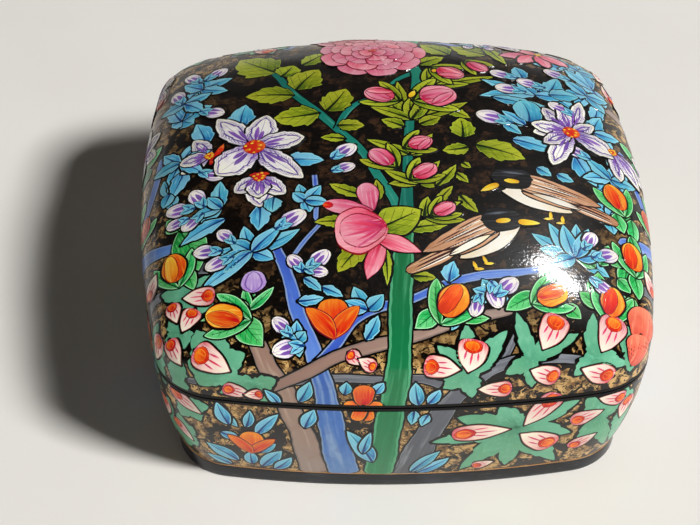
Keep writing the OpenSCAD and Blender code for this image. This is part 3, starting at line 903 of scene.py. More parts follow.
class Graph:
    """A material's node tree, with short calls for what its paints share."""

    def __init__(self, name, roughness=0.42, coat=0.5):
        self.material = bpy.data.materials.new(name)
        self.material.use_nodes = True
        self.nodes = self.material.node_tree.nodes
        self.links = self.material.node_tree.links
        self.shader = self.nodes["Principled BSDF"]
        self.shader.inputs["Roughness"].default_value = roughness
        self.shader.inputs["Coat Weight"].default_value = coat
        self.shader.inputs["Coat Roughness"].default_value = 0.07
        self.shader.inputs["Specular IOR Level"].default_value = 0.2

    def put(self, socket, value):
        if isinstance(value, bpy.types.NodeSocket):
            self.links.new(value, socket)
        elif isinstance(value, tuple) and len(value) == 3 and socket.type == "RGBA":
            socket.default_value = (*value, 1)
        else:
            socket.default_value = value

    def math(self, operation, a, b=0.0):
        node = self.nodes.new("ShaderNodeMath")
        node.operation = operation
        self.put(node.inputs[0], a)
        self.put(node.inputs[1], b)
        return node.outputs[0]

    def times(self, a, b):
        return self.math("MULTIPLY", a, b)

    def plus(self, a, b):
        return self.math("ADD", a, b)

    def minus(self, a, b):
        return self.math("SUBTRACT", a, b)

    def size(self, a):
        return self.math("ABSOLUTE", a)

    def between(self, value, low, high):
        """0 below low, 1 above high, smooth between. High may be the lower one."""
        node = self.nodes.new("ShaderNodeMapRange")
        node.interpolation_type = "SMOOTHSTEP"
        flip = high < low
        for name, v in (("Value", value), ("From Min", min(low, high)),
                        ("From Max", max(low, high)), ("To Min", float(flip)),
                        ("To Max", float(not flip))):
            self.put(node.inputs[name], v)
        return node.outputs["Result"]

    def mix(self, share, a, b):
        node = self.nodes.new("ShaderNodeMix")
        node.data_type = "RGBA"
        self.put(node.inputs["Factor"], share)
        self.put(node.inputs["A"], a)
        self.put(node.inputs["B"], b)
        return node.outputs["Result"]

    def noise(self, vector, scale, detail=2.0):
        node = self.nodes.new("ShaderNodeTexNoise")
        self.put(node.inputs["Vector"], vector)
        self.put(node.inputs["Scale"], scale)
        self.put(node.inputs["Detail"], detail)
        return node.outputs["Fac"]

    def vector(self, x, y, z):
        node = self.nodes.new("ShaderNodeCombineXYZ")
        for socket, value in zip(node.inputs, (x, y, z)):
            self.put(socket, value)
        return node.outputs[0]

    def parts(self, vector):
        node = self.nodes.new("ShaderNodeSeparateXYZ")
        self.put(node.inputs[0], vector)
        return node.outputs

    def uv(self, name):
        node = self.nodes.new("ShaderNodeUVMap")
        node.uv_map = name
        return self.parts(node.outputs[0])

    def value(self, name):
        node = self.nodes.new("ShaderNodeAttribute")
        node.attribute_name = name
        return node.outputs["Fac"]

    def millimetres(self):
        """The place on the object, in millimetres."""
        coordinates = self.nodes.new("ShaderNodeTexCoord")
        node = self.nodes.new("ShaderNodeVectorMath")
        node.operation = "SCALE"
        self.put(node.inputs[0], coordinates.outputs["Object"])
        self.put(node.inputs["Scale"], 1 / MM)
        return node.outputs[0]

    def relief(self, height, depth, coat=True):
        """Bump, depth in millimetres, also under the gloss of the varnish."""
        node = self.nodes.new("ShaderNodeBump")
        self.put(node.inputs["Height"], height)
        self.put(node.inputs["Distance"], depth * MM)
        self.put(self.shader.inputs["Normal"], node.outputs[0])
        if coat:
            self.put(self.shader.inputs["Coat Normal"], node.outputs[0])

    def finish(self, colour, roughness=None):
        self.put(self.shader.inputs["Base Color"], colour)
        if roughness is not None:
            self.put(self.shader.inputs["Roughness"], roughness)
        return self.material


def rgb(r, g, b):
    """A colour as the eye reads it, 0 to 255, in linear light."""
    return tuple(((c / 255 + 0.055) / 1.055) ** 2.4 if c > 10 else c / 255 / 12.92
                 for c in (r, g, b))


def paint(name, base, body, tip, light, dark, rib=0.0, veins=0.0, contour=0.0, edge=None,
          edge_width=0.3, streaks=0.6, half=0.0, fringe=0.0, grain=(0.3, 2.2), roughness=0.4):
    """Brushed paint whose colour runs from the base of a stroke to its tip. Rib, veins, contour
    and edge are line widths or distances in mm, half lightens one side of a leaf."""
    g = Graph(name, roughness)
    along, across, _ = g.uv("along")
    s, t, _ = g.uv("mm")
    seed = g.value("seed")
    rim = g.value("rim")
    far = g.times(seed, 50.0)
    hairs = g.noise(g.vector(g.times(s, grain[0]), g.times(t, grain[1]), far), 1.0, 3.0)
    blots = g.noise(g.vector(s, t, far), 0.35, 2.0)
    shifted = g.plus(along, g.times(g.minus(hairs, 0.5), 0.7))
    colour = g.mix(g.between(shifted, 0.0, 0.5), base, body)
    colour = g.mix(g.between(shifted, 0.5, 1.02), colour, tip)
    colour = g.mix(g.times(g.between(hairs, 0.52, 0.72), streaks), colour, light)
    colour = g.mix(g.times(g.between(blots, 0.5, 0.3), 0.45 * streaks), colour, base)
    if half:
        one_side = g.between(g.plus(across, g.times(hairs, 0.2)), 0.55, 0.75)
        colour = g.mix(g.times(one_side, half), colour, light)
    if edge is not None:
        ragged = g.plus(rim, g.times(g.minus(blots, 0.5), 0.5))
        colour = g.mix(g.between(ragged, edge_width + 0.1, edge_width - 0.1), colour, edge)
    distance = g.size(t)
    if contour:
        line = g.size(g.minus(rim, contour))
        colour = g.mix(g.times(g.between(line, 0.3, 0.12),
                               g.between(hairs, 0.3, 0.38)), colour, dark)
        hatch = g.times(g.between(rim, contour + 0.1, contour - 0.1),
                        g.between(g.minus(rim, g.times(blots, 1.4)), -0.5, 0.1))
        comb = g.math("PINGPONG", g.plus(g.minus(s, g.times(rim, 1.6)), g.times(hairs, 1.6)), 0.5)
        hatch = g.times(hatch, g.between(comb, 0.3, 0.1))
        colour = g.mix(g.times(hatch, fringe), colour, dark)
    if veins:
        slanted = g.minus(s, g.times(distance, 1.1))
        repeat = g.math("PINGPONG", slanted, veins / 2)
        line = g.times(g.between(repeat, 0.17, 0.05), g.between(rim, 0.5, 0.9))
        colour = g.mix(g.times(line, 0.75), colour, dark)
    if rib:
        narrowing = g.times(g.minus(1.05, along), rib)
        line = g.between(g.minus(distance, narrowing), 0.07, -0.05)
        colour = g.mix(g.times(line, g.between(along, 0.93, 0.85)), colour, dark)
    value = g.nodes.new("ShaderNodeHueSaturation")
    g.put(value.inputs["Hue"], g.plus(0.492, g.times(seed, 0.016)))
    g.put(value.inputs["Value"], g.plus(0.88, g.times(seed, 0.22)))
    g.put(value.inputs["Color"], colour)
    g.relief(hairs, 0.05)
    return g.finish(value.outputs[0], g.plus(roughness - 0.1, g.times(blots, 0.2)))


def paints():
    """The material of every kind of stroke."""
    black = rgb(12, 9, 8)
    made = {}

    def add(name, base, body, tip, light, dark, **more):
        made[name] = paint(name, rgb(*base), rgb(*body), rgb(*tip), rgb(*light), rgb(*dark),
                           **more)

    add("halo", (5, 4, 4), (7, 5, 4), (8, 6, 5), (20, 14, 10), (4, 3, 3), streaks=0.3)
    made["leaf_halo"] = made["halo"]
    add("line_red", (150, 20, 30), (140, 16, 34), (120, 14, 30), (170, 40, 50),
        (90, 10, 20), streaks=0.3)
    add("line_dark", (60, 18, 14), (74, 22, 16), (50, 14, 12), (90, 40, 24), (30, 10, 8),
        streaks=0.3)
    add("leaf_olive", (78, 108, 16), (142, 158, 26), (182, 188, 42), (202, 206, 58),
        (20, 36, 8), rib=0.42, veins=3.0, edge=rgb(178, 194, 58), edge_width=0.14, half=0.35)
    add("leaf_blue", (30, 112, 176), (76, 174, 210), (112, 206, 226), (158, 224, 236),
        (10, 58, 116), rib=0.3, edge=rgb(150, 220, 234), edge_width=0.18, half=0.45)
    add("leaf_green", (20, 140, 62), (44, 184, 86), (84, 206, 110), (150, 232, 160),
        (8, 88, 36), rib=0.22, veins=1.9, edge=rgb(170, 238, 176), edge_width=0.22, half=0.3)
    add("leaf_sea", (86, 162, 126), (102, 176, 138), (108, 182, 144), (136, 200, 162),
        (36, 96, 70), streaks=0.35, grain=(0.5, 0.9))
    add("bark_green", (14, 108, 62), (22, 122, 74), (34, 138, 88), (86, 180, 132),
        (10, 80, 48), streaks=0.5, grain=(0.05, 0.6), edge=rgb(84, 172, 126),
        edge_width=0.55)
    add("bark_teal", (18, 110, 96), (24, 126, 108), (40, 142, 120), (86, 176, 156),
        (8, 66, 58), streaks=0.5, grain=(0.08, 1.1))
    add("bark_blue", (58, 94, 184), (74, 118, 204), (104, 146, 212), (148, 176, 220),
        (34, 60, 140), streaks=0.8, grain=(0.05, 0.7), edge=rgb(132, 158, 200),
        edge_width=0.35)
    add("bark_tan", (150, 118, 104), (160, 132, 118), (160, 140, 130), (188, 160, 142),
        (92, 66, 56), streaks=0.7, grain=(0.06, 0.8), edge=rgb(132, 112, 104))
    add("bark_grey", (84, 86, 94), (100, 103, 112), (112, 116, 124), (150, 154, 160),
        (50, 52, 58), streaks=0.7, grain=(0.06, 0.9), edge=rgb(138, 142, 148),
        edge_width=0.14)
    add("petal_white", (128, 86, 182), (250, 246, 240), (254, 250, 228), (226, 210, 240),
        (86, 46, 150), contour=1.5, rib=0.1, streaks=0.4, grain=(0.14, 2.0), fringe=0.8)
    add("bud_white", (120, 76, 178), (244, 236, 240), (252, 246, 228), (186, 156, 214),
        (92, 52, 156), streaks=0.6, grain=(0.16, 2.4))
    add("violet", (110, 66, 160), (128, 82, 176), (150, 108, 190), (170, 136, 204),
        (70, 36, 120), streaks=0.5)
    add("lilac", (176, 140, 212), (190, 158, 220), (206, 182, 230), (222, 206, 240),
        (130, 90, 176), contour=1.0, streaks=0.6)
    add("petal_pink", (206, 34, 80), (240, 104, 136), (248, 156, 172), (252, 196, 204),
        (170, 20, 64), streaks=0.6, grain=(0.14, 1.9), edge=rgb(176, 30, 64),
        edge_width=0.12, half=0.3)
    add("deep_pink", (206, 36, 84), (224, 64, 108), (238, 110, 146), (240, 130, 160),
        (170, 20, 64), streaks=0.4)
    add("petal_orange", (206, 30, 16), (238, 78, 20), (250, 132, 30), (250, 160, 46),
        (150, 16, 14), streaks=0.6, grain=(0.18, 1.6), edge=rgb(250, 150, 50),
        edge_width=0.16, half=0.2)
    add("petal_amber", (236, 104, 24), (246, 150, 36), (252, 196, 60), (254, 214, 96),
        (150, 30, 14), streaks=0.6, grain=(0.18, 1.6), edge=rgb(228, 84, 30),
        edge_width=0.14, half=0.2)
    add("petal_red", (196, 20, 20), (228, 44, 22), (244, 92, 30), (250, 130, 44),
        (120, 10, 14), streaks=0.5, grain=(0.2, 1.7))
    add("petal_coral", (214, 84, 58), (236, 122, 88), (244, 148, 108), (250, 176, 134),
        (150, 40, 30), streaks=0.6, grain=(0.16, 1.2))
    add("petal_ember", (206, 30, 20), (238, 74, 28), (248, 120, 40), (252, 176, 80),
        (130, 12, 14), streaks=0.6, grain=(0.22, 1.5), contour=0.7)
    add("petal_cream", (250, 242, 220), (247, 208, 196), (216, 66, 100), (254, 248, 236),
        (168, 24, 60), streaks=0.6, grain=(0.14, 2.0), edge=rgb(190, 84, 76),
        edge_width=0.12)
    add("ember", (196, 18, 18), (222, 44, 24), (240, 104, 38), (248, 140, 50), (120, 12, 14),
        streaks=0.8, grain=(0.7, 0.9))
    add("gold", (226, 160, 20), (246, 204, 40), (252, 222, 84), (254, 236, 140),
        (150, 96, 10), streaks=0.4)
    add("bird_black", (14, 13, 14), (22, 21, 23), (18, 17, 18), (96, 98, 104), (6, 6, 6),
        streaks=0.45, grain=(0.12, 3.0))
    add("bird_grey", (60, 64, 72), (92, 98, 108), (50, 54, 60), (130, 136, 146), (20, 20, 22),
        streaks=0.6)
    add("bird_tan", (218, 168, 128), (218, 164, 122), (176, 122, 84), (246, 210, 172),
        (40, 22, 12), streaks=0.95, grain=(0.07, 2.8), edge=black, edge_width=0.1, rib=0.2)
    add("bird_white", (240, 222, 188), (252, 246, 232), (248, 232, 206), (255, 252, 244),
        (160, 116, 74), streaks=0.7, grain=(0.1, 2.4))
    return made


CROWN_GROUND = 55.5      # above this height the ground is nearly black
WALL_GROUND = 43.5       # below this one it has golden patches


def ground():
    """Black with dark-brown mottling on the crown that turns into golden patches, outlined and
    scribbled over in black, on the walls."""
    g = Graph("ground", 0.4)
    place = g.millimetres()
    low = g.between(g.parts(place)[2], CROWN_GROUND, WALL_GROUND)
    warp = g.noise(place, 0.4, 2.0)
    nudge = g.times(g.minus(warp, 0.5), 6.0)
    moved = g.nodes.new("ShaderNodeVectorMath")
    moved.operation = "ADD"
    g.put(moved.inputs[0], place)
    g.put(moved.inputs[1], g.vector(nudge, nudge, g.times(nudge, -1.0)))
    moved = moved.outputs[0]
    grain = g.noise(place, 1.3, 3.0)
    patches = g.plus(g.noise(moved, 0.21, 2.0), g.times(low, 0.07))
    scribble = g.size(g.minus(g.noise(moved, 0.42, 1.0), 0.5))
    dark = g.mix(g.between(grain, 0.4, 0.7), rgb(6, 4, 3), rgb(20, 13, 8))
    deep = g.mix(low, rgb(30, 19, 12), rgb(118, 84, 46))
    tan = g.mix(low, rgb(62, 41, 25), rgb(212, 172, 108))
    patch = g.mix(g.between(g.noise(place, 0.55, 3.0), 0.38, 0.62), deep, tan)
    patch = g.mix(g.times(g.between(grain, 0.39, 0.31), low), patch, rgb(52, 34, 20))
    inside = g.times(g.between(patches, 0.51, 0.545), g.between(scribble, 0.016, 0.034))
    g.relief(grain, 0.03)
    return g.finish(g.mix(inside, dark, patch), g.plus(0.3, g.times(grain, 0.2)))


def lacquer(name, dark, light, scale, roughness, coat=1.0, stretch=6.0, scratch=None):
    """Brushed lacquer: faint lengthwise marks, rubbed lighter in places, with fine scratches."""
    g = Graph(name, roughness, coat)
    place = g.millimetres()
    x, y, z = g.parts(place)
    marks = g.noise(g.vector(g.times(x, 1 / stretch), g.times(y, 1 / stretch), z), scale, 3.0)
    wear = g.noise(place, 0.12, 4.0)
    colour = g.mix(g.times(g.between(marks, 0.4, 0.7), g.between(wear, 0.35, 0.65)),
                   rgb(*dark), rgb(*light))
    if scratch:
        fine = g.noise(g.vector(g.times(x, 0.12), g.times(y, 0.12), g.times(z, 9.0)), 1.0, 2.0)
        colour = g.mix(g.between(fine, 0.68, 0.72), colour, rgb(*scratch))
    g.relief(marks, 0.04, coat > 0.5)
    return g.finish(colour, g.plus(roughness - 0.12, g.times(wear, 0.26)))


# Plain pieces: rings of points skinned from one to the next

AROUND = 320           # points of a ring
RING_HALVINGS = 34     # of the ray on which a point is found
CROWN_RINGS = 40
HOOP_RINGS = 8         # on the outside of a band, and as many on the inside


def ring(z, inset, plan_z=None):
    """Points of the plan of one level, under an inset, found along rays from the middle. With
    plan_z it has the plan of that level."""
    z = np.float64(z)
    half, corner, side = level_plan(z if plan_z is None else np.float64(plan_z), inset)
    turn = np.linspace(0, 2 * math.pi, AROUND, endpoint=False)
    c, s = np.cos(turn), np.sin(turn)
    near, far = np.zeros(AROUND), np.full(AROUND, 2 * HALF)
    for _ in range(RING_HALVINGS):
        mid = (near + far) / 2
        out = plan_distance(c * mid, s * mid, half, corner, side) > 0
        far, near = np.where(out, mid, far), np.where(out, near, mid)
    return np.column_stack([c * near, s * near, np.full(AROUND, z)])


def wall_rings(low, high, inset, steps=14):
    return [ring(z, inset) for z in np.linspace(low, high, steps)]


def crown_rings(inset):
    """Rings from just above the widest level to close to the top of the crown."""
    top = HEIGHT - inset
    angles = np.linspace(0, math.pi / 2, CROWN_RINGS + 1)[1:-1]
    return [ring(BELLY + (top - BELLY) * math.sin(a) ** (2 / CROWN_POWER), inset)
            for a in angles]


def skinned(name, rings, closed, tips):
    """A mesh over rings. Closed joins the last ring to the first, tips close the ends."""
    n = len(rings[0])
    points = np.concatenate(rings)
    faces = []
    last = len(rings) if closed else len(rings) - 1
    for j in range(last):
        a, b = j * n, (j + 1) % len(rings) * n
        faces += [(a + i, a + (i + 1) % n, b + (i + 1) % n, b + i) for i in range(n)]
    for tip, edge, forward in ((tips[0], 0, False), (tips[1], (len(rings) - 1) * n, True)):
        if tip is not None:
            points = np.concatenate([points, [tip]])
            c = len(points) - 1
            faces += [(edge + i, edge + (i + 1) % n, c) if forward
                      else (edge + (i + 1) % n, edge + i, c) for i in range(n)]
    mesh = bpy.data.meshes.new(name)
    mesh.from_pydata((points * MM).tolist(), [], faces)
    mesh.update()
    return mesh


def put_in(name, rings, body, slot, material, *nodes, closed=False, tips=(None, None),
           sharp=35):
    """Makes a piece over rings, with its body, material and the nodes it stands for; slot is not
    used.
    Edges that turn by more than sharp degrees stay sharp."""
    mesh = skinned(name, rings, closed, tips)
    mesh.materials.append(material)
    mesh.polygons.foreach_set("use_smooth", [True] * len(mesh.polygons))
    mesh.set_sharp_from_angle(angle=math.radians(sharp))
    piece = bpy.data.objects.new(name, mesh)
    bpy.context.scene.collection.objects.link(piece)
    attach(piece, body)
    if nodes:
        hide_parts(*nodes)


def dome(inset_out, inset_in, low):
    """A layer of the lid between two depths under its outer surface, down to a level."""
    rings = (crown_rings(inset_out)[::-1] + wall_rings(low, BELLY, inset_out)[::-1]
             + wall_rings(low, BELLY, inset_in) + crown_rings(inset_in))
    return rings, ((0, 0, HEIGHT - inset_out), (0, 0, HEIGHT - inset_in))


def hoop(low, high, inset_out, inset_in, rounding=0.12, steps=HOOP_RINGS):
    """A band between two depths, whose outer corners are rounded a little."""
    outer = [ring(low, inset_out + rounding)]
    outer += wall_rings(low + rounding, high - rounding, inset_out, steps)
    outer += [ring(high, inset_out + rounding)]
    return outer + wall_rings(low, high, inset_in, steps)[::-1]


LIP = 0.3           # how far the black of the joint runs over the paint
LIP_OUT = 0.06      # how far it stands out, and the golden line too
LIP_LAP = 0.05      # how far the paint runs under it
EDGE_RINGS = 4      # on the inside of a bound edge
PAINT_FOOT = 0.3    # from the wall's lower edge up to the paint, behind the golden line
ROUND_EDGE = 50     # degrees, for pieces with softly turned edges


def build_shells():
    """The plain pieces: ground-coated walls, linings, bound edges, foot, collar and board."""
    lid_low = span("lid_shell")[0]
    base_low, base_high = span("base_shell")
    painted_ground = ground()
    black = lacquer("black_lacquer", (10, 10, 12), (30, 29, 33), scale=0.8, roughness=0.3)
    gloss = lacquer("joint_black", (2, 2, 3), (7, 6, 8), scale=0.9, roughness=0.5, coat=0.1)
    card = lacquer("collar_card", (26, 20, 18), (64, 48, 38), scale=1.4, roughness=0.5,
                   coat=0.4)
    band = lacquer("foot_black", (26, 27, 31), (50, 53, 61), scale=0.5, roughness=0.4,
                   coat=0.6, stretch=10.0, scratch=(120, 118, 116))
    board = lacquer("board_black", (20, 19, 20), (48, 44, 42), scale=0.35, roughness=0.6,
                    coat=0.0, stretch=3.0, scratch=(84, 78, 72))
    line = lacquer("gold_line", (186, 132, 76), (236, 186, 124), scale=1.2, roughness=0.34,
                   coat=0.6)

    rings, tips = dome(0.0, WALL, lid_low)
    put_in("lid_body", rings, "lid", "painted_pulp", painted_ground, "lid_shell", tips=tips,
           sharp=ROUND_EDGE)
    rings, tips = dome(LINING_OUT, LINING_IN, lid_low)
    put_in("lid_inside", rings, "lid", "black_lacquer", black, "lid_lining", tips=tips,
           sharp=ROUND_EDGE)
    put_in("base_body", hoop(base_low, base_high, 0.0, WALL, 0.02, 24), "base",
           "painted_pulp", painted_ground, "base_shell", closed=True)
    floor_low = span("base_lining")[0]
    floor_top = floor_low + LINING_T
    rings = (wall_rings(floor_low, base_high, LINING_OUT)
             + wall_rings(floor_top, base_high, LINING_IN)[::-1])
    put_in("base_inside", rings, "base", "black_lacquer", black, "base_lining",
           tips=((0, 0, floor_low), (0, 0, floor_top)), sharp=ROUND_EDGE)
    low, high = span("lid_edge")
    rings = hoop(low, lid_low + LIP, -LIP_OUT, LIP)[:-HOOP_RINGS]
    rings += [ring(lid_low + LIP, LIP), ring(lid_low, LIP)]
    rings += wall_rings(low, lid_low, LINING_IN, EDGE_RINGS)[::-1]
    put_in("lid_joint_line", rings, "lid", "black_edge", gloss, "lid_edge", closed=True)
    low, high = span("base_edge")
    rings = hoop(base_high - LIP, high, -LIP_OUT, LIP)[:-HOOP_RINGS]
    rings += wall_rings(base_high, high, LINING_IN, EDGE_RINGS)[::-1]
    rings += [ring(base_high, LIP), ring(base_high - LIP, LIP)]
    put_in("base_joint_line", rings, "base", "black_edge", gloss, "base_edge", closed=True)
    foot = [ring(z, inset, FOOT_TOP) for z, inset in
            [(0.0, 0.5), (0.12, 0.2), (0.4, 0.04), (0.8, 0.0), (FOOT_TOP - 0.5, 0.0),
             (FOOT_TOP - 0.15, 0.05), (FOOT_TOP, 0.25), (FOOT_TOP, WALL), (0.0, WALL)]]
    put_in("foot_ring", foot, "base", "black_edge", band, "foot_band", closed=True,
           sharp=ROUND_EDGE)
    rings = hoop(FOOT_TOP - 0.02, base_low + PAINT_FOOT, -LIP_OUT, 1.0, 0.05, 3)
    put_in("foot_gold_line", rings, "base", "painted_pulp", line, closed=True)
    build_collar(card)
    build_board(board)


def build_collar(material):
    """The seat collar: glued inside the base, free of the lid above the joint."""
    low, high = span("seat_collar")
    edge = span("base_edge")[1]
    free = LINING_IN + COLLAR_CLEAR
    inner = free + COLLAR_T
    rings = [ring(z, LINING_IN + GLUE) for z in np.linspace(low, edge, 5)]
    rings += [ring(edge, free)]
    rings += [ring(high - down, inset, JOINT) for down, inset in
              ((0.5, free), (0.12, free + 0.14), (0, free + 0.5), (0, inner - 0.5),
               (0.12, inner - 0.14), (0.5, inner))]
    rings += [ring(z, inner) for z in np.linspace(edge, low, 5)]
    put_in("collar", rings, "base", "collar_card", material, "seat_collar", closed=True,
           sharp=ROUND_EDGE)


def build_board(material):
    """The bottom board, with a faint roll to its lower edge."""
    top = span("base_board")[1]
    inset = HALF - INSET * ((BELLY - FOOT_TOP) / BELLY) ** WALL_POWER - half_width("base_board")
    rings = [ring(z, inset + extra, FOOT_TOP) for z, extra in
             [(0.0, 40.0), (0.0, 12.0), (0.0, 0.4), (0.1, 0.12), (0.3, 0.0), (top, 0.0),
              (top, 30.0)]]
    put_in("bottom_board", rings, "base", "underside_board", material, "base_board",
           tips=((0, 0, 0), (0, 0, top)), sharp=ROUND_EDGE)


# Strokes become pieces of the lid and of the base, cut at the joint and at the foot

def settle():
    """Puts every stroke on the surface, one layer above the strokes that it covers, and its
    outline half a layer lower."""
    on = project(np.concatenate([strip["points"] for strip in strips]))
    out = normals(on)
    start = 0
    for strip in strips:
        end = start + len(strip["points"])
        strip["points"], strip["out"] = on[start:end], out[start:end]
        start = end
    top = np.zeros((int(2 * HALF / CELL) + 2, int(2 * HALF / CELL) + 2, int(HEIGHT / CELL) + 2))
    for _, mates in itertools.groupby(sorted(strips, key=lambda strip: strip["order"]),
                                      key=lambda strip: (strip["order"], strip["mate"])):
        mates = list(mates)
        found = []
        for strip in mates:
            grid = strip["points"].reshape(*strip["inner"].shape, 3)[1:-1, 1:-1]
            grid = np.insert(grid, range(1, len(grid)), (grid[1:] + grid[:-1]) / 2, 0)
            grid = np.insert(grid, range(1, grid.shape[1]), (grid[:, 1:] + grid[:, :-1]) / 2, 1)
            found.append(((grid.reshape(-1, 3) + (HALF, HALF, 0)) / CELL).astype(int))
        cells = tuple(np.unique(np.clip(np.concatenate(found), 0, None), axis=0).T)
        level = top[cells].max() + 1
        top[cells] = level
        for strip in mates:
            height = np.where(strip["inner"].ravel(), (level - 0.5 * strip["under"]) * LAYER,
                              -SUNK)
            strip["points"] = strip["points"] + strip["out"] * height[:, None]


EDGE_IN = 0.6      # how far cut edges of paint are turned in


def painted(name, body, kinds, made, low, high):
    """One piece of all the strokes of some kinds between two levels of a body."""
    chosen = [s for s in strips if s["kind"] in kinds and s["points"][:, 2].max() > low
              and s["points"][:, 2].min() < high]
    counts = np.cumsum([0] + [len(s["points"]) for s in chosen])
    points = np.concatenate([s["points"] for s in chosen])
    faces = np.concatenate([s["faces"] + n for s, n in zip(chosen, counts)])
    data = np.concatenate([s["data"] for s in chosen])
    seeds = np.concatenate([np.full(len(s["points"]), s["seed"]) for s in chosen])
    slots = np.concatenate([np.full(len(s["faces"]), kinds.index(s["kind"])) for s in chosen])
    mesh = bpy.data.meshes.new(name)
    mesh.from_pydata((points * MM).tolist(), [], faces.tolist())
    mesh.polygons.foreach_set("material_index", slots)
    for label, columns in (("along", (0, 1)), ("mm", (2, 3))):
        layer = mesh.uv_layers.new(name=label)
        layer.uv.foreach_set("vector", data[faces.ravel()][:, columns].ravel())
    for label, values in (("rim", data[:, 4]), ("seed", seeds)):
        mesh.attributes.new(label, "FLOAT", "POINT").data.foreach_set("value", values)

    cut = bmesh.new()
    cut.from_mesh(mesh)
    for level, way in ((low, -1), (high, 1)):
        rim = bmesh.ops.bisect_plane(cut, geom=cut.verts[:] + cut.edges[:] + cut.faces[:],
                                     plane_co=(0, 0, level * MM), plane_no=(0, 0, way),
                                     clear_outer=True)["geom_cut"]
        edges = [e for e in rim if isinstance(e, bmesh.types.BMEdge)]
        for vertex in bmesh.ops.extrude_edge_only(cut, edges=edges)["geom"]:
            if isinstance(vertex, bmesh.types.BMVert):
                vertex.co.xy *= 1 - EDGE_IN / vertex.co.xy.length * MM
    cut.to_mesh(mesh)
    cut.free()
    for kind in kinds:
        mesh.materials.append(made[kind])
    mesh.polygons.foreach_set("use_smooth", [True] * len(mesh.polygons))
    flat = np.zeros(len(mesh.vertices) * 3)
    mesh.vertices.foreach_get("co", flat)
    mesh.normals_split_custom_set_from_vertices(normals(project(flat.reshape(-1, 3) / MM)))
    piece = bpy.data.objects.new(name, mesh)
    bpy.context.scene.collection.objects.link(piece)
    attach(piece, body)


# The kinds of stroke in each piece
GROUPS = {
    "leaf_outlines": ["leaf_halo"],
    "petal_outlines": ["halo", "line_red", "line_dark"],
    "stems": ["bark_green", "bark_teal", "bark_blue", "bark_tan", "bark_grey"],
    "foliage": ["leaf_olive", "leaf_blue", "leaf_green", "leaf_sea"],
    "petals": ["petal_white", "bud_white", "violet", "lilac", "petal_pink", "petal_orange",
               "petal_amber", "petal_red", "petal_coral", "petal_ember", "petal_cream", "deep_pink",
               "ember", "gold"],
    "birds": ["bird_black", "bird_grey", "bird_tan", "bird_white"],
}


def build_painting():
    """All strokes, as pieces of the lid and of the base. The birds sit on the lid alone."""
    made = paints()
    paint_all()
    settle()
    lid_low = span("lid_shell")[0]
    base_low, base_high = span("base_shell")
    for group, kinds in GROUPS.items():
        painted("lid_" + group, "lid", kinds, made, lid_low + LIP - LIP_LAP, 2 * HEIGHT)
        if group != "birds":
            painted("base_" + group, "base", kinds, made, base_low + PAINT_FOOT,
                    base_high - LIP + LIP_LAP)


# The camera, with angles in degrees and lengths in millimetres

AZIMUTH = -3.559
ELEVATION = 41.827
ROLL = 1.678
DISTANCE = 601.5
LENS = 122.19
TARGET = Vector((-11.14, -7.68, 28.58))


def build_camera():
    a, e, r = (math.radians(v) for v in (AZIMUTH, ELEVATION, ROLL))
    back = Vector((math.sin(a) * math.cos(e), -math.cos(a) * math.cos(e), math.sin(e)))
    right = (-back).cross(Vector((0, 0, 1))).normalized()
    up = right.cross(-back)
    right_rolled = right * math.cos(r) + up * math.sin(r)
    up_rolled = up * math.cos(r) - right * math.sin(r)
    data = bpy.data.cameras.new("camera")
    data.lens = LENS
    data.sensor_width = 36.0
    data.clip_start = 0.01
    camera = bpy.data.objects.new("camera", data)
    camera.matrix_world = Matrix.LocRotScale((TARGET + back * DISTANCE) * MM,
                                             Matrix((right_rolled, up_rolled, back)).transposed(),
                                             None)
    bpy.context.scene.collection.objects.link(camera)
    bpy.context.scene.camera = camera


# The room: a pale floor, a pale horizon, a dark ceiling and three lamps, in metres and watts

AIM = Vector((0, 0, 0.03))
FLOOR = 3.0            # half width of the floor
HORIZON = 0.06         # upward part of a direction up to which the horizon is pale
CEILING = 0.17         # upward part of a direction from which the ceiling is dark


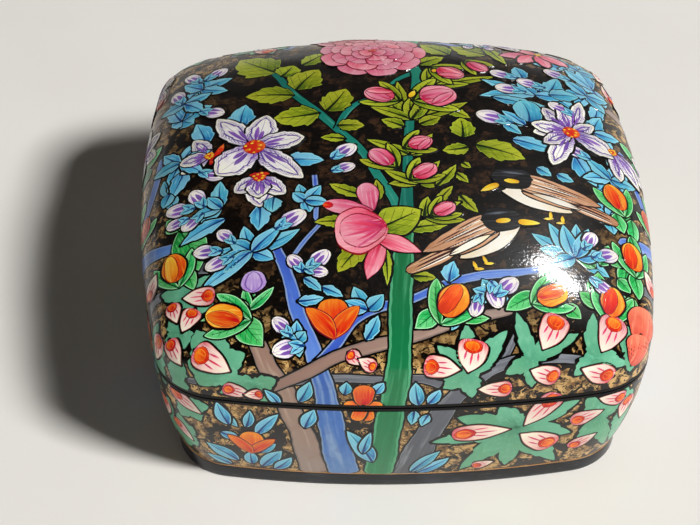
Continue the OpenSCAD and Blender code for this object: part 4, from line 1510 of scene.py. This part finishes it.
def lamp(name, place, size, power, mirrored=False):
    """A soft rectangular lamp. A mirrored one only shows as a highlight, the others only light."""
    data = bpy.data.lights.new(name, "AREA")
    data.shape = "RECTANGLE"
    data.size, data.size_y = size
    data.energy = power
    light = bpy.data.objects.new(name, data)
    light.location = place
    light.rotation_euler = (AIM - Vector(place)).to_track_quat("-Z", "Y").to_euler()
    light.visible_glossy = mirrored
    light.visible_diffuse = not mirrored
    bpy.context.scene.collection.objects.link(light)


def build_room():
    g = Graph("floor", 0.9, 0.0)
    place = g.millimetres()
    g.finish(g.mix(g.noise(place, 0.02, 3.0), rgb(238, 234, 226), rgb(245, 242, 236)))
    mesh = bpy.data.meshes.new("floor")
    mesh.from_pydata([(x * FLOOR, y * FLOOR, 0) for x, y in ((-1, -1), (1, -1), (1, 1), (-1, 1))],
                     [], [(0, 1, 2, 3)])
    mesh.materials.append(g.material)
    floor = bpy.data.objects.new("floor", mesh)
    bpy.context.scene.collection.objects.link(floor)

    world = bpy.data.worlds.new("room")
    bpy.context.scene.world = world
    world.use_nodes = True
    tree = world.node_tree
    coordinates = tree.nodes.new("ShaderNodeTexCoord")
    split = tree.nodes.new("ShaderNodeSeparateXYZ")
    tree.links.new(coordinates.outputs["Generated"], split.inputs[0])
    ramp = tree.nodes.new("ShaderNodeValToRGB")
    tree.links.new(split.outputs["Z"], ramp.inputs[0])
    for stop, height, colour in zip(ramp.color_ramp.elements, (HORIZON, CEILING),
                                    ((0.8, 0.79, 0.78, 1), (0.013, 0.01, 0.008, 1))):
        stop.position = height
        stop.color = colour
    tree.links.new(ramp.outputs[0], tree.nodes["Background"].inputs["Color"])
    lamp("key", (1.9, -1.3, 2.5), (0.68, 0.68), 132.0)
    lamp("fill", (-0.3, -1.3, 0.5), (0.7, 0.4), 1.3)
    lamp("window", (0.47, 0.41, 0.93), (0.2, 0.07), 5.0, mirrored=True)
    bpy.context.scene.view_settings.view_transform = "Standard"


build_camera()
build_room()
build_shells()
build_painting()
